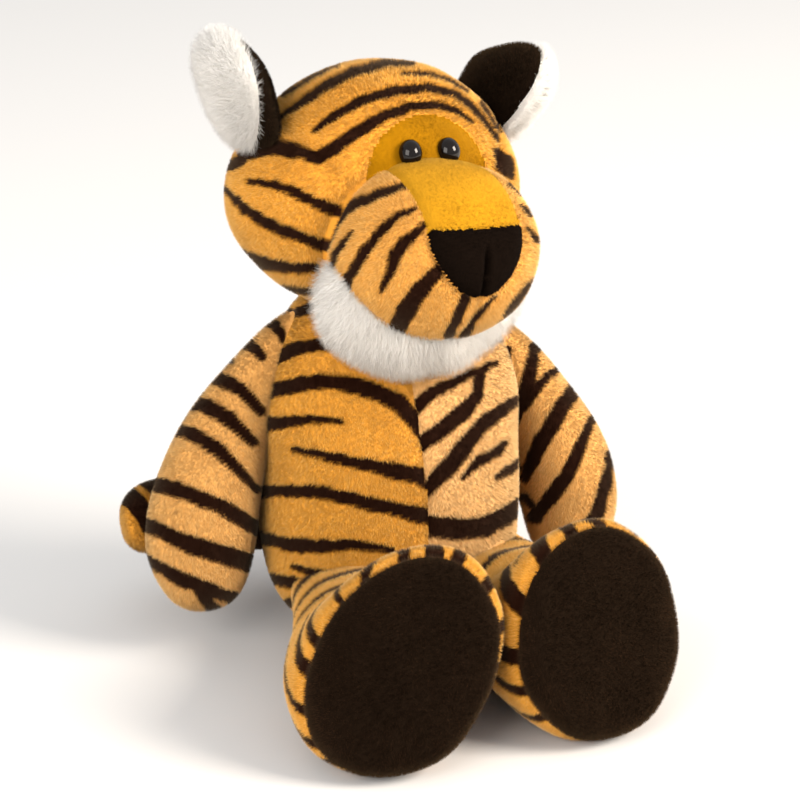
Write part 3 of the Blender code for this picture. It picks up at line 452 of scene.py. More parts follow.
# Leg stripes run back from the sole: degrees round the leg, millimetres behind the seam, and width in mm
RIGHT_LEG_STRIPES = (
    ((86, -2, 4), (84, 10, 4), (83, 18, 2)),
    ((71, -2, 7), (70, 12, 7), (68, 21, 3)),
    ((60, -2, 5), (57, 8, 4), (52, 18, 2)),
    ((111, -2, 5), (107, 5, 5), (98, 12, 5), (88, 20, 5), (74, 28, 3)),
    ((130, -2, 3), (128, 10, 3), (124, 24, 2)),
    ((160, -2, 6), (156, 10, 6), (151, 24, 5), (146, 42, 3)),
    ((179, -2, 6), (172, 10, 6), (166, 22, 5), (160, 42, 2)),
    ((202, -2, 4), (195, 10, 4), (188, 24, 3), (182, 42, 2)),
    ((219, -2, 4), (214, 10, 4), (208, 28, 2)),
    ((231, -2, 4), (229, 8, 4), (226, 22, 2)),
    ((250, -2, 4), (252, 14, 4), (250, 36, 2)),
    ((40, 0, 5), (36, 14, 5), (26, 40, 3)),
    ((18, 0, 5), (14, 16, 5), (8, 44, 3)),
    ((-5, 0, 5), (-8, 20, 6), (-10, 50, 3)),
    ((-32, 0, 5), (-36, 16, 5), (-40, 40, 2)),
    ((-60, 0, 5), (-64, 18, 5), (-70, 44, 2)),
    ((100, 44, 2), (118, 50, 5), (140, 56, 5), (165, 58, 4), (190, 56, 2)),
    ((60, 68, 3), (90, 74, 6), (120, 74, 6), (150, 78, 6), (190, 76, 4), (215, 70, 2)),
    ((70, 98, 3), (100, 96, 6), (140, 98, 7), (180, 98, 7), (215, 92, 3)),
    ((-40, 80, 3), (-10, 74, 7), (25, 80, 4)),
)
LEFT_LEG_STRIPES = (
    ((121, -2, 8), (116, 8, 8), (108, 20, 8), (103, 34, 7), (100, 48, 3)),
    ((99, -2, 6), (97, 8, 6), (94, 16, 5)),
    ((96, 18, 5), (88, 12, 7), (80, 2, 6), (78, -2, 5)),
    ((70, 12, 4), (62, 8, 4), (54, 4, 3)),
    ((119, 27, 2), (124, 20, 3), (131, 15, 2)),
    ((151, -2, 9), (146, 8, 9), (139, 22, 8), (132, 38, 5)),
    ((180, -2, 7), (180, 12, 7), (178, 28, 5), (174, 46, 2)),
    ((202, -2, 5), (199, 12, 5), (195, 28, 4), (190, 44, 2)),
    ((224, -2, 5), (222, 12, 5), (216, 30, 2)),
    ((40, 2, 5), (36, 16, 6), (30, 40, 3)),
    ((16, 2, 5), (14, 20, 6), (10, 48, 3)),
    ((-6, 0, 5), (-8, 18, 6), (-12, 52, 3)),
    ((-30, 0, 5), (-34, 18, 5), (-40, 42, 2)),
    ((-58, 0, 5), (-62, 18, 5), (-66, 44, 2)),
    ((-90, 6, 3), (-92, 26, 5), (-96, 50, 2)),
    ((30, 72, 3), (60, 76, 7), (92, 72, 7), (120, 70, 7), (150, 66, 4), (168, 62, 2)),
    ((-20, 96, 3), (10, 92, 7), (50, 98, 7), (80, 94, 3)),
    ((110, 98, 3), (140, 94, 6), (180, 90, 6), (215, 92, 3)),
)
TAIL_STRIPES = (
    ((134, 476, 8), (152, 484, 11), (160, 500, 8)),
    ((124, 492, 12), (134, 500, 17), (146, 516, 18), (156, 534, 14)),
    ((182, 466, 14), (180, 500, 16), (184, 565, 12)),
    ((222, 466, 12), (224, 500, 16), (218, 565, 14)),
    ((262, 466, 14), (258, 500, 14), (264, 565, 12)),
)


# The stripes' edges wander by about this much, in the frame's pixels, and in millimetres on the legs
EDGE_WANDER_PX = 0.9
EDGE_WANDER_MM = 0.5
# Where the far side's stripes begin they taper by this much, in millimetres, over this change in facing
FAR_TAPER = 3.0
FAR_TAPER_FACING = 0.12
# Stripes are this much wider on each side than drawn, in millimetres, on the face and elsewhere
FACE_WIDER = -0.1
BODY_WIDER = 0.3
# Pale tufts lean over a stripe's edge, so it is painted wider by this much on each side, in millimetres
STRIPE_SPREAD = 0.6
# About how many millimetres a degree round the leg is
LEG_MM_PER_DEGREE = 0.85


def line_reach(flat, lines):
    """How far each flat point lies inside the nearest stripe, from its edge, in the lines' own unit."""
    best = np.full(len(flat), -1e3)
    for line in lines:
        line = np.array(line, float)
        for start, end in zip(line, line[1:]):
            step = end[:2] - start[:2]
            t = np.clip(((flat - start[:2]) @ step) / (step @ step), 0, 1)
            gap = np.linalg.norm(flat - start[:2] - t[:, None] * step, axis=1)
            half = (start[2] + (end[2] - start[2]) * t) / 2
            best = np.maximum(best, half - gap)
    return best


def wander(points, scale, seed, octaves=6):
    """A smooth random value, about -1 to 1, that changes over the scale."""
    r = np.random.default_rng(seed)
    total = np.zeros(len(points))
    for _ in range(octaves):
        way = unit(r.normal(size=3)) * (2 * math.pi / scale) * r.uniform(0.6, 1.6)
        total += np.sin(points @ way + r.uniform(0, 6.28))
    return total / math.sqrt(octaves * 2)


def shifts(points, scale, seeds, amount):
    """Smooth random shifts, one for each seed, of about the amount."""
    return np.stack([wander(points, scale, seed) for seed in seeds], 1) * amount


def seen_or_mirrored(points, normals, middle):
    """Points that face away from the camera, mirrored through the upright plane across the view."""
    level = unit(np.array([BACK[0], BACK[1], 0]))
    away = np.einsum("ij,ij->i", normals, EYE_POINT - points) < 0
    offset = (points - middle) @ level
    return np.where((away & (offset < 0))[:, None], points - 2 * offset[:, None] * level, points)


def facing(points, normals):
    """How squarely each point faces the camera, from -1 to 1."""
    return np.einsum("ij,ij->i", normals, unit(EYE_POINT - points))


def frame_reach(points, normals, lines, back_lines, middle):
    """How far points lie inside the stripes drawn for the side they are on, in millimetres."""
    flat = to_frame(seen_or_mirrored(points, normals, middle)) + shifts(points, 0.009, (3, 4), EDGE_WANDER_PX)
    reach = np.where(facing(points, normals) < 0, line_reach(flat, back_lines), line_reach(flat, lines))
    return reach * MM_PER_PX


def drawn_stripes(lines, form, wider=BODY_WIDER, back_lines=None, far_lines=None, aside=0.0):
    """Millimetres inside stripes drawn in the frame. Far lines mark the hidden left, mirrored."""
    middle = spot(form)
    back_lines = back_lines or far_lines or lines

    def paint(points, normals):
        reach = frame_reach(points, normals, lines, back_lines, middle)
        if far_lines is not None:
            seen = facing(points, normals)
            local = carry(form.place.inverted(), points)
            far = (seen < 0) & (local[:, 0] > aside)
            across = carry(form.place.inverted(), normals, turn_only=True) * (-1, 1, 1)
            local[:, 0] = 2 * aside - local[:, 0]
            other = frame_reach(carry(form.place, local), carry(form.place, across, turn_only=True),
                                far_lines, back_lines, middle)
            reach = np.where(far, other - groove(seen, FAR_TAPER, FAR_TAPER_FACING), reach)
        return reach + wider
    return paint


def leg_stripes(side, lines):
    """Millimetres inside stripes drawn round a leg behind its sole."""
    form = LEGS[side]
    flat_lines = [[(angle * LEG_MM_PER_DEGREE, behind, width) for angle, behind, width in line]
                  for line in lines]

    def paint(points, normals):
        local = carry(form.place.inverted(), points)
        behind = sole_gap(side, local) / MM
        axis = form.start + np.outer((local - form.start) @ form.ahead, form.ahead)
        out = local - axis
        angle = np.degrees(np.arctan2(out @ form.across, out @ form.side))
        best = np.full(len(points), -1e3)
        for turn in (-360, 0, 360):
            flat = np.stack([(angle + turn) * LEG_MM_PER_DEGREE, behind], 1)
            flat += shifts(points, 0.011, (5, 6), EDGE_WANDER_MM)
            best = np.maximum(best, line_reach(flat, flat_lines))
        return best
    return paint


def plain(points, normals):
    """No stripes: every point lies far outside one."""
    return np.full(len(points), -50.0)


def evenly_painted_light(share):
    """Painted light: pile that takes its paler, lit-looking colour by the same share everywhere."""
    return lambda local: np.full(len(local), share)


def painted_light_in_front(local):
    """Painted light: pile that takes its paler, lit-looking colour at the front and less and less towards the
    back.
    """
    return np.clip(1 - (local[:, 1] - PAINTED_LIGHT_EDGE) / PAINTED_LIGHT_FADE, 0, 1)


def spot(form, along=0.5):
    """A place on a form's axis, by default its middle."""
    return carry(form.place, form.centre(np.array(along))[None])[0]


# How much of the pile is painted with its paler, lit-looking colour: painted light
ARM_PAINTED_LIGHT = 0.6
MUZZLE_PAINTED_LIGHT = 0.25
PAINTED_LIGHT_EDGE = -0.01
PAINTED_LIGHT_FADE = 0.04

# Colours as sRGB hex. A deep one is the pile's at its foot
PLUSH_ORANGE = "#E8AC48"
PLUSH_ORANGE_DEEP = "#D79031"
PLUSH_TIP = "#FCE0B4"
PLUSH_SHEEN = "#FFE2BC"
# Painted light: the pile's paler colours where the lamp falls, at its tip and at its foot
PAINTED_LIT_ORANGE = "#F2C585"
PAINTED_LIT_ORANGE_DEEP = "#E5AB68"
STRIPE_BROWN = "#200B04"
GOLD = "#B0851F"
GOLD_DEEP = "#A17111"
# Painted shade: the forehead's gold, darker than the muzzle's gold, as if in the brow's shade
FOREHEAD_GOLD_PAINTED_SHADE = "#936A05"
FOREHEAD_GOLD_DEEP_PAINTED_SHADE = "#855803"
PILE_BLACK = "#342317"
PILE_BLACK_DEEP = "#0D0704"
NOSE_BLACK = "#0B0705"
FUR_WHITE = "#FFFEFC"
FUR_SHADE = "#FAF8F4"
PURE_WHITE = "#FFFFFF"
WARM_SHEEN = "#FFD9A0"
EYE_BLACK = "#0B0706"
WASHER_WHITE = "#E8E8E8"
FLOOR_SEEN = "#BDBDBD"
FLOOR_LIT = "#E6E2DC"
KEY_LIGHT = "#FFF3E4"
FILL_LIGHT = "#FFF8F0"

# Handling leaves paler and darker places in the pile, so many to a metre, which is one in about 36 mm
HANDLED_PER_METRE = 28.0
# How far light on the pile follows the cloth beneath it and not each tuft's own side
NAP_SHARE = 0.93


def linear(code):
    """A hex colour in the renderer's linear values."""
    parts = [int(code[i:i + 2], 16) / 255 for i in (1, 3, 5)]
    return tuple(c / 12.92 if c <= 0.04045 else ((c + 0.055) / 1.055) ** 2.4 for c in parts) + (1.0,)


def add(tree, kind, links=None, **settings):
    """Adds a node, sets its settings, and links or sets its inputs by name or number."""
    node = tree.nodes.new(kind)
    for name, value in settings.items():
        setattr(node, name, value)
    for name, value in (links or {}).items():
        socket = node.inputs[name]
        if isinstance(value, bpy.types.NodeSocket):
            tree.links.new(value, socket)
        else:
            socket.default_value = value
    return node


def new_material(name):
    """An empty material and its node tree."""
    made = bpy.data.materials.new(name)
    made.use_nodes = True
    made.node_tree.nodes.clear()
    return made, made.node_tree


def uneven_roughness(tree, per_metre, detail, low, high):
    """Roughness that wanders between two values, in a pattern of so many cells a metre."""
    place = add(tree, "ShaderNodeTexCoord").outputs["Object"]
    grain = add(tree, "ShaderNodeTexNoise", {"Vector": place, "Scale": per_metre, "Detail": detail})
    return add(tree, "ShaderNodeMapRange", {"Value": grain.outputs["Fac"], "To Min": low,
                                            "To Max": high}).outputs["Result"]


def plush(name, colour, deep, pale=None, stripe=None, painted_light=None, sheen=0.1, tint=WARM_SHEEN, uneven=0.06,
          seen_through=0.0):
    """Cut pile of fine polyester: each tuft is lighter at its tip, and neighbours differ a little."""
    made, tree = new_material(name)
    tip = add(tree, "ShaderNodeAttribute", attribute_name="tip").outputs["Fac"]
    tone = add(tree, "ShaderNodeAttribute", attribute_name="tone").outputs["Fac"]
    mix = add(tree, "ShaderNodeMix", {"Factor": tip, "A": linear(deep), "B": linear(colour)},
              data_type="RGBA")
    colour_out = mix.outputs["Result"]
    if painted_light:
        # Painted light: pile where the lamp falls is painted a paler colour
        way = add(tree, "ShaderNodeAttribute", attribute_name="painted_light").outputs["Fac"]
        lit, low = (linear(code) for code in painted_light)
        other = add(tree, "ShaderNodeMix", {"Factor": tip, "A": low, "B": lit}, data_type="RGBA")
        mix = add(tree, "ShaderNodeMix", {"Factor": way, "A": colour_out, "B": other.outputs["Result"]},
                  data_type="RGBA")
        colour_out = mix.outputs["Result"]
    if pale:
        # The last third of a fibre scatters light and looks washed out
        end = add(tree, "ShaderNodeMapRange", {"Value": tip, "From Min": 0.6, "From Max": 1.0,
                                               "To Min": 0.0, "To Max": 0.40}).outputs["Result"]
        mix = add(tree, "ShaderNodeMix", {"Factor": end, "A": colour_out, "B": linear(pale)},
                  data_type="RGBA")
        colour_out = mix.outputs["Result"]
    if stripe:
        mark = add(tree, "ShaderNodeAttribute", attribute_name="stripe").outputs["Fac"]
        mix = add(tree, "ShaderNodeMix", {"Factor": mark, "A": colour_out, "B": linear(stripe)},
                  data_type="RGBA")
        colour_out = mix.outputs["Result"]
    vary = add(tree, "ShaderNodeMapRange", {"Value": tone, "From Min": 0.0, "From Max": 1.0,
                                            "To Min": 1 - uneven, "To Max": 1 + uneven},
               clamp=False).outputs["Result"]
    place = add(tree, "ShaderNodeTexCoord").outputs["Object"]
    cloud = add(tree, "ShaderNodeTexNoise", {"Vector": place, "Scale": HANDLED_PER_METRE, "Detail": 2.0})
    cloud = cloud.outputs["Fac"]
    cloud = add(tree, "ShaderNodeMapRange", {"Value": cloud, "From Min": 0.3, "From Max": 0.7,
                                             "To Min": 0.93, "To Max": 1.06}).outputs["Result"]
    both = add(tree, "ShaderNodeMath", {0: vary, 1: cloud}, operation="MULTIPLY").outputs[0]
    final = add(tree, "ShaderNodeVectorMath", {0: colour_out, "Scale": both}, operation="SCALE")
    final = final.outputs["Vector"]
    nap = add(tree, "ShaderNodeAttribute", attribute_name="nap").outputs["Vector"]
    nap = add(tree, "ShaderNodeVectorTransform", {"Vector": nap}, vector_type="NORMAL", convert_from="OBJECT",
              convert_to="WORLD").outputs["Vector"]
    own = add(tree, "ShaderNodeNewGeometry").outputs["Normal"]
    normal = add(tree, "ShaderNodeMix", {"Factor": NAP_SHARE, "A": own, "B": nap}, data_type="VECTOR")
    normal = add(tree, "ShaderNodeVectorMath", {0: normal.outputs["Result"]}, operation="NORMALIZE")
    shader = add(tree, "ShaderNodeBsdfPrincipled", {"Base Color": final, "Normal": normal.outputs["Vector"],
                                                    "Roughness": 0.9})
    shader.inputs["Sheen Weight"].default_value = sheen
    shader.inputs["Sheen Roughness"].default_value = 0.5
    shader.inputs["Sheen Tint"].default_value = linear(tint)
    shader.inputs["Specular IOR Level"].default_value = 0.02
    surface = shader.outputs[0]
    if seen_through:
        # Light passes through loose fibres
        through = add(tree, "ShaderNodeBsdfTranslucent", {"Color": final}).outputs[0]
        surface = add(tree, "ShaderNodeMixShader", {0: seen_through, 1: surface, 2: through}).outputs[0]
    add(tree, "ShaderNodeOutputMaterial", {"Surface": surface})
    return made


# Orange cut pile with paler tips, brown stripes and painted light: places painted paler where the lamp falls
TIGER_PLUSH = plush("tiger_plush", PLUSH_ORANGE, PLUSH_ORANGE_DEEP, PLUSH_TIP, STRIPE_BROWN,
                    (PAINTED_LIT_ORANGE, PAINTED_LIT_ORANGE_DEEP), sheen=0.2, tint=PLUSH_SHEEN)
# Short gold pile. On the forehead it is painted deeper: painted shade from the brow
GOLD_PLUSH = plush("gold_plush", GOLD, GOLD_DEEP)
FOREHEAD_PAINTED_SHADE_PLUSH = plush("forehead_gold_painted_shade_plush", FOREHEAD_GOLD_PAINTED_SHADE, FOREHEAD_GOLD_DEEP_PAINTED_SHADE)
# Black pile whose tufts differ much, so that it shows grain
BLACK_PLUSH = plush("black_plush", PILE_BLACK, PILE_BLACK_DEEP, sheen=0.08, uneven=0.55)
NOSE_PLUSH = plush("nose_black_plush", NOSE_BLACK, PILE_BLACK_DEEP, sheen=0.0, uneven=0.3)
# Loose white fur that light passes through
WHITE_FUR = plush("white_fur", FUR_WHITE, FUR_SHADE, sheen=0.8, tint=PURE_WHITE, uneven=0.05,
                  seen_through=0.55)


def plastic(name, colour, specular, *grain):
    """Hard plastic whose fine grain only unsettles its shine."""
    made, tree = new_material(name)
    shader = add(tree, "ShaderNodeBsdfPrincipled", {"Base Color": linear(colour),
                                                    "Roughness": uneven_roughness(tree, *grain)})
    shader.inputs["Specular IOR Level"].default_value = specular
    add(tree, "ShaderNodeOutputMaterial", {"Surface": shader.outputs[0]})
    return made


# Polished black acrylic, glossy all over, with hardly any colour of its own
EYE_ACRYLIC = plastic("safety_eye_acrylic", EYE_BLACK, 0.22, 900.0, 2.0, 0.04, 0.10)
# Moulded white polypropylene, for the lock washers behind the eyes
WASHER_PLASTIC = plastic("moulded_polypropylene", WASHER_WHITE, 0.5, 600.0, 3.0, 0.4, 0.6)


def set_attribute(mesh, name, values, kind="FLOAT"):
    """Stores one value or vector for each point of a mesh."""
    layer = mesh.attributes.new(name, kind, "POINT")
    values = np.asarray(values, np.float32).ravel()
    layer.data.foreach_set("vector" if kind == "FLOAT_VECTOR" else "value", values)


def mesh_object(name, points, faces, material=None, smooth=True):
    """A mesh with its object, in the scene."""
    mesh = bpy.data.meshes.new(name)
    mesh.from_pydata(points.tolist(), [], faces)
    mesh.update()
    if material:
        mesh.materials.append(material)
    if smooth:
        mesh.shade_smooth()
    ob = bpy.data.objects.new(name, mesh)
    bpy.context.collection.objects.link(ob)
    return ob


# A long hair's width at its tip, as a share of its foot's
TIP_WIDTH = 0.12


def make_blade(tree, segments, bend):
    """One tuft, a unit wide and tall, with its tip value: a triangle, or a tapering strip that bends over."""
    if segments == 1:
        flat = add(tree, "GeometryNodeMeshCircle", {"Vertices": 3}, fill_type="NGON").outputs["Mesh"]
        index = add(tree, "GeometryNodeInputIndex").outputs[0]
        is_top = add(tree, "FunctionNodeCompare", {2: index, 3: 2}, data_type="INT", operation="EQUAL")
        aside = add(tree, "ShaderNodeMath", {0: index, 1: 0.5}, operation="SUBTRACT").outputs[0]
        x, z = [add(tree, "GeometryNodeSwitch", {"Switch": is_top.outputs[0], "False": low, "True": top},
                    input_type="FLOAT").outputs[0] for low, top in ((aside, 0.0), (0.0, 1.0))]
        place = add(tree, "ShaderNodeCombineXYZ", {"X": x, "Z": z}).outputs[0]
    else:
        flat = add(tree, "GeometryNodeMeshGrid", {"Size X": 1.0, "Size Y": 1.0, "Vertices X": 2,
                                                  "Vertices Y": segments + 1}).outputs["Mesh"]
        here = add(tree, "ShaderNodeSeparateXYZ", {0: add(tree, "GeometryNodeInputPosition").outputs[0]})
        z = add(tree, "ShaderNodeMath", {0: here.outputs["Y"], 1: 0.5}, operation="ADD").outputs[0]
        narrow = add(tree, "ShaderNodeMapRange", {"Value": z, "To Min": 1.0, "To Max": TIP_WIDTH})
        x = add(tree, "ShaderNodeMath", {0: here.outputs["X"], 1: narrow.outputs["Result"]},
                operation="MULTIPLY").outputs[0]
        squared = add(tree, "ShaderNodeMath", {0: z, 1: 2.0}, operation="POWER").outputs[0]
        y = add(tree, "ShaderNodeMath", {0: squared, 1: bend}, operation="MULTIPLY").outputs[0]
        place = add(tree, "ShaderNodeCombineXYZ", {"X": x, "Y": y, "Z": z}).outputs[0]
    shaped = add(tree, "GeometryNodeSetPosition", {"Geometry": flat, "Position": place}).outputs[0]
    height = add(tree, "ShaderNodeSeparateXYZ", {0: add(tree, "GeometryNodeInputPosition").outputs[0]})
    return add(tree, "GeometryNodeStoreNamedAttribute",
               {"Geometry": shaped, "Name": "tip", "Value": height.outputs["Z"]},
               data_type="FLOAT", domain="POINT").outputs[0]


def pile_tree(name, segments):
    """Sets a tuft on each root along its heading. Inputs: width, bend and material."""
    tree = bpy.data.node_groups.new(name, "GeometryNodeTree")
    for socket, kind in (("Roots", "Geometry"), ("Width", "Float"), ("Bend", "Float"),
                         ("Material", "Material")):
        tree.interface.new_socket(socket, in_out="INPUT", socket_type="NodeSocket" + kind)
    tree.interface.new_socket("Pile", in_out="OUTPUT", socket_type="NodeSocketGeometry")
    given = add(tree, "NodeGroupInput")
    blade = make_blade(tree, segments, given.outputs["Bend"])
    heading, spin, reach = [
        add(tree, "GeometryNodeInputNamedAttribute", {"Name": layer}, data_type=kind).outputs[0]
        for layer, kind in (("heading", "FLOAT_VECTOR"), ("spin", "FLOAT"), ("reach", "FLOAT"))]
    upright = add(tree, "FunctionNodeAlignRotationToVector", {"Vector": heading}, axis="Z").outputs[0]
    spin = add(tree, "FunctionNodeAxisAngleToRotation", {"Axis": (0, 0, 1), "Angle": spin}).outputs[0]
    turn = add(tree, "FunctionNodeRotateRotation", {0: upright, 1: spin}, rotation_space="LOCAL").outputs[0]
    size = add(tree, "ShaderNodeCombineXYZ", {"X": given.outputs["Width"], "Y": reach, "Z": reach}).outputs[0]
    tufts = add(tree, "GeometryNodeInstanceOnPoints", {"Points": given.outputs["Roots"], "Instance": blade,
                                                       "Rotation": turn, "Scale": size}).outputs[0]
    real = add(tree, "GeometryNodeRealizeInstances", {"Geometry": tufts}).outputs[0]
    done = add(tree, "GeometryNodeSetMaterial", {"Geometry": real, "Material": given.outputs["Material"]})
    add(tree, "NodeGroupOutput", {"Pile": done.outputs[0]})
    return tree


SHORT_PILE = pile_tree("short_pile", 1)
LONG_PILE = pile_tree("long_pile", 3)


def grow(name, roots, normals, heading, reach, width, bend, stripe, painted_light, material, long_hair=False):
    """A pile piece on roots, turned into a plain mesh."""
    points = mesh_object(name + "_roots", roots, [], smooth=False)
    count = len(roots)
    for layer, values in (("heading", heading), ("nap", normals)):
        set_attribute(points.data, layer, values, "FLOAT_VECTOR")
    for layer, values in (("reach", reach), ("spin", rng.uniform(0, 2 * math.pi, count)), ("stripe", stripe),
                          ("painted_light", painted_light), ("tone", rng.uniform(0, 1, count))):
        set_attribute(points.data, layer, values)
    tree = LONG_PILE if long_hair else SHORT_PILE
    modifier = points.modifiers.new("pile", "NODES")
    modifier.node_group = tree
    sockets = {item.name: item.identifier for item in tree.interface.items_tree if item.in_out == "INPUT"}
    modifier[sockets["Width"]] = width
    modifier[sockets["Bend"]] = bend
    modifier[sockets["Material"]] = material
    bpy.context.view_layer.update()
    evaluated = points.evaluated_get(bpy.context.evaluated_depsgraph_get())
    mesh = bpy.data.meshes.new_from_object(evaluated)
    for extra in ("heading", "reach", "spin"):
        if extra in mesh.attributes:
            mesh.attributes.remove(mesh.attributes[extra])
    mesh.name = name
    ob = bpy.data.objects.new(name, mesh)
    bpy.context.collection.objects.link(ob)
    bpy.data.objects.remove(points)
    return ob


class Skin:
    """A fine closed grid over a form that can be pushed about, split into panels and furred."""

    def __init__(self, form, spacing, seed):
        self.form, self.seed = form, seed
        rings = max(16, int(form.length * 1.5 / spacing))
        around = max(24, int(2 * math.pi * max(form.half_side, form.half_across) / spacing))
        turns = np.linspace(0, math.pi, rings + 1)[1:-1]
        angles = np.arange(around) * 2 * math.pi / around
        grid = form.points(*np.meshgrid(turns, angles, indexing="ij"))
        ends = form.centre(np.array([0.0, 1.0]))
        if form.floor is not None:
            ends[:, 2] = np.maximum(ends[:, 2], form.floor)
        self.points = carry(form.place, np.concatenate([ends[:1], grid.reshape(-1, 3), ends[1:]]))
        index = 1 + np.arange((rings - 1) * around).reshape(rings - 1, around)
        after = np.roll(index, -1, axis=1)
        quads = np.stack([index[:-1], after[:-1], after[1:], index[1:]], -1).reshape(-1, 4)
        last = len(self.points) - 1
        low = np.stack([np.zeros(around, int), after[0], index[0]], 1)
        high = np.stack([np.full(around, last), index[-1], after[-1]], 1)
        self.faces = [tuple(f) for f in quads] + [tuple(f) for f in low] + [tuple(f) for f in high]
        tri = np.concatenate([quads[:, [0, 1, 2]], quads[:, [0, 2, 3]], low, high])
        self.triangles = tri
        centre = self.points.mean(0)
        if np.einsum("ij,ij->i", self.face_normals(), self.points[tri].mean(1) - centre).sum() < 0:
            self.faces = [f[::-1] for f in self.faces]
            self.triangles = tri[:, ::-1]

    def face_normals(self):
        a, b, c = (self.points[self.triangles[:, k]] for k in range(3))
        return np.cross(b - a, c - a)

    def normals(self):
        total = np.zeros_like(self.points)
        weights = self.face_normals()
        for k in range(3):
            np.add.at(total, self.triangles[:, k], weights)
        return unit(total)

    def push(self, amounts):
        """Moves the points outwards along their normals, by one amount or by one for each."""
        self.points = self.points + self.normals() * np.broadcast_to(amounts, len(self.points))[:, None]

    def reshape(self, moved):
        """Takes new places, given in the form's own place."""
        self.points = carry(self.form.place, moved)

    def lumps(self, height, scale):
        """Pushes soft lumps of about the height and scale into the skin."""
        self.push(height * wander(self.points, scale, self.seed))

    def local(self, points=None):
        """Points, by default the skin's, in the form's own place."""
        return carry(self.form.place.inverted(), self.points if points is None else points)

    def scatter(self, per_mm2):
        """Random roots over the skin with their normals."""
        a, b, c = (self.points[self.triangles[:, k]] for k in range(3))
        areas = np.linalg.norm(np.cross(b - a, c - a), axis=1) / 2
        count = int(areas.sum() * 1e6 * per_mm2)
        pick = rng.choice(len(areas), count, p=areas / areas.sum())
        u, v = rng.uniform(size=(2, count))
        over = u + v > 1
        u[over], v[over] = 1 - u[over], 1 - v[over]
        w = 1 - u - v
        roots = a[pick] * w[:, None] + b[pick] * u[:, None] + c[pick] * v[:, None]
        n = self.normals()
        t = self.triangles[pick]
        return roots, unit(n[t[:, 0]] * w[:, None] + n[t[:, 1]] * u[:, None] + n[t[:, 2]] * v[:, None])


# Tone of the cloth at the foot of the pile. It runs from 0 to 1 in the tufts, and below that it is darker.
# The orange cloth is darkened much more, as painted shade in the creases and gaps where it shows
ORANGE_CLOTH_PAINTED_SHADE = -1.3
CLOTH_TONE = 0.3


class Panel:
    """One sewn piece of a skin: where it is, what it is made of and what it stands for."""

    def __init__(self, name, where, material, nodes, paint=plain, nap=NAP, width=TUFT_WIDTH,
                 per_mm2=PILE_PER_MM2, lean=0.45, spread=0.12, long_hair=False, bend=0.25, fill=0.8,
                 painted_light=evenly_painted_light(0.0)):
        self.name, self.where, self.material, self.nodes = name, where, material, nodes
        self.paint, self.nap, self.width, self.per_mm2 = paint, nap, width, per_mm2
        self.lean, self.spread, self.long_hair, self.bend, self.fill = lean, spread, long_hair, bend, fill
        self.painted_light = painted_light
        # Orange cloth is darkened below its pile: painted shade
        self.cloth_tone_and_painted_shade = ORANGE_CLOTH_PAINTED_SHADE if material is TIGER_PLUSH else CLOTH_TONE


# Cloth: a coarse copy of each skin, held at its seams, is blown up by its stuffing
CLOTH_GRAIN = 0.005
CLOTH_PRESSURE = 4.0
CLOTH_FRAMES = 20
CLOTH_REACH = 0.0022
SEAM_HOLD = 0.006
CLOTH_SETTINGS = {"quality": 4, "mass": 0.2, "use_pressure": True, "uniform_pressure_force": CLOTH_PRESSURE,
                  "vertex_group_mass": "seams"}


def cloth_copy(name, skin, hold):
    """A voxel-remeshed copy of a skin as cloth, pinned where the hold is strong."""
    ball = mesh_object(name + "_cloth", skin.points, skin.faces)
    remesh = ball.modifiers.new("even", "REMESH")
    remesh.mode = "VOXEL"
    remesh.voxel_size = CLOTH_GRAIN
    bpy.context.view_layer.update()
    even = bpy.data.meshes.new_from_object(ball.evaluated_get(bpy.context.evaluated_depsgraph_get()))
    ball.modifiers.clear()
    ball.data = even
    count = len(even.vertices)
    rest = np.empty(count * 3, np.float32)
    even.vertices.foreach_get("co", rest)
    rest = rest.reshape(-1, 3).astype(float)
    group = ball.vertex_groups.new(name="seams")
    for index, weight in enumerate(hold(skin.local(rest))):
        if weight > 0.02:
            group.add([index], float(weight), "REPLACE")
    cloth = ball.modifiers.new("cloth", "CLOTH")
    for setting, value in CLOTH_SETTINGS.items():
        setattr(cloth.settings, setting, value)
    cloth.settings.effector_weights.gravity = 0
    cloth.point_cache.frame_start = 1
    cloth.point_cache.frame_end = CLOTH_FRAMES
    return ball, rest


def settle(skins, holds):
    """Lets the cloth copies settle and moves the fine skins along with them."""
    copies = {name: cloth_copy(name, skin, holds[name]) for name, skin in skins.items()}
    for step in range(1, CLOTH_FRAMES + 1):
        bpy.context.scene.frame_set(step)
    depsgraph = bpy.context.evaluated_depsgraph_get()
    for name, (ball, rest) in copies.items():
        now = np.empty(len(rest) * 3, np.float32)
        ball.evaluated_get(depsgraph).data.vertices.foreach_get("co", now)
        moved = now.reshape(-1, 3) - rest
        size = np.linalg.norm(moved, axis=1, keepdims=True)
        moved *= CLOTH_REACH / np.maximum(size, CLOTH_REACH)
        tree = KDTree(len(rest))
        for index, place in enumerate(rest):
            tree.insert(place, index)
        tree.balance()
        skin = skins[name]
        shift = np.zeros_like(skin.points)
        for index, point in enumerate(skin.points):
            found = tree.find_n(point, 5)
            weights = np.array([1 / (distance + 0.002) ** 2 for _, _, distance in found])
            shift[index] = weights @ moved[[number for _, number, _ in found]] / weights.sum()
        normals = skin.normals()
        skin.points = skin.points + shift - normals * np.mean(np.einsum("ij,ij->i", shift, normals))
    for ball, _ in copies.values():
        bpy.data.objects.remove(ball)
    bpy.context.scene.frame_set(1)


def held_near(*gaps):
    """A hold that is full on seams, given by the gap from each, and fades beside them."""
    return lambda local: np.max([groove(gap(local), 1, SEAM_HOLD) for gap in gaps], axis=0)


def everywhere(local):
    """Where a panel takes all that the panels before it leave."""
    return np.ones(len(local), bool)


def combed(way):
    """A nap that lies one way all over."""
    return lambda points, normals: unit(np.broadcast_to(way, points.shape))


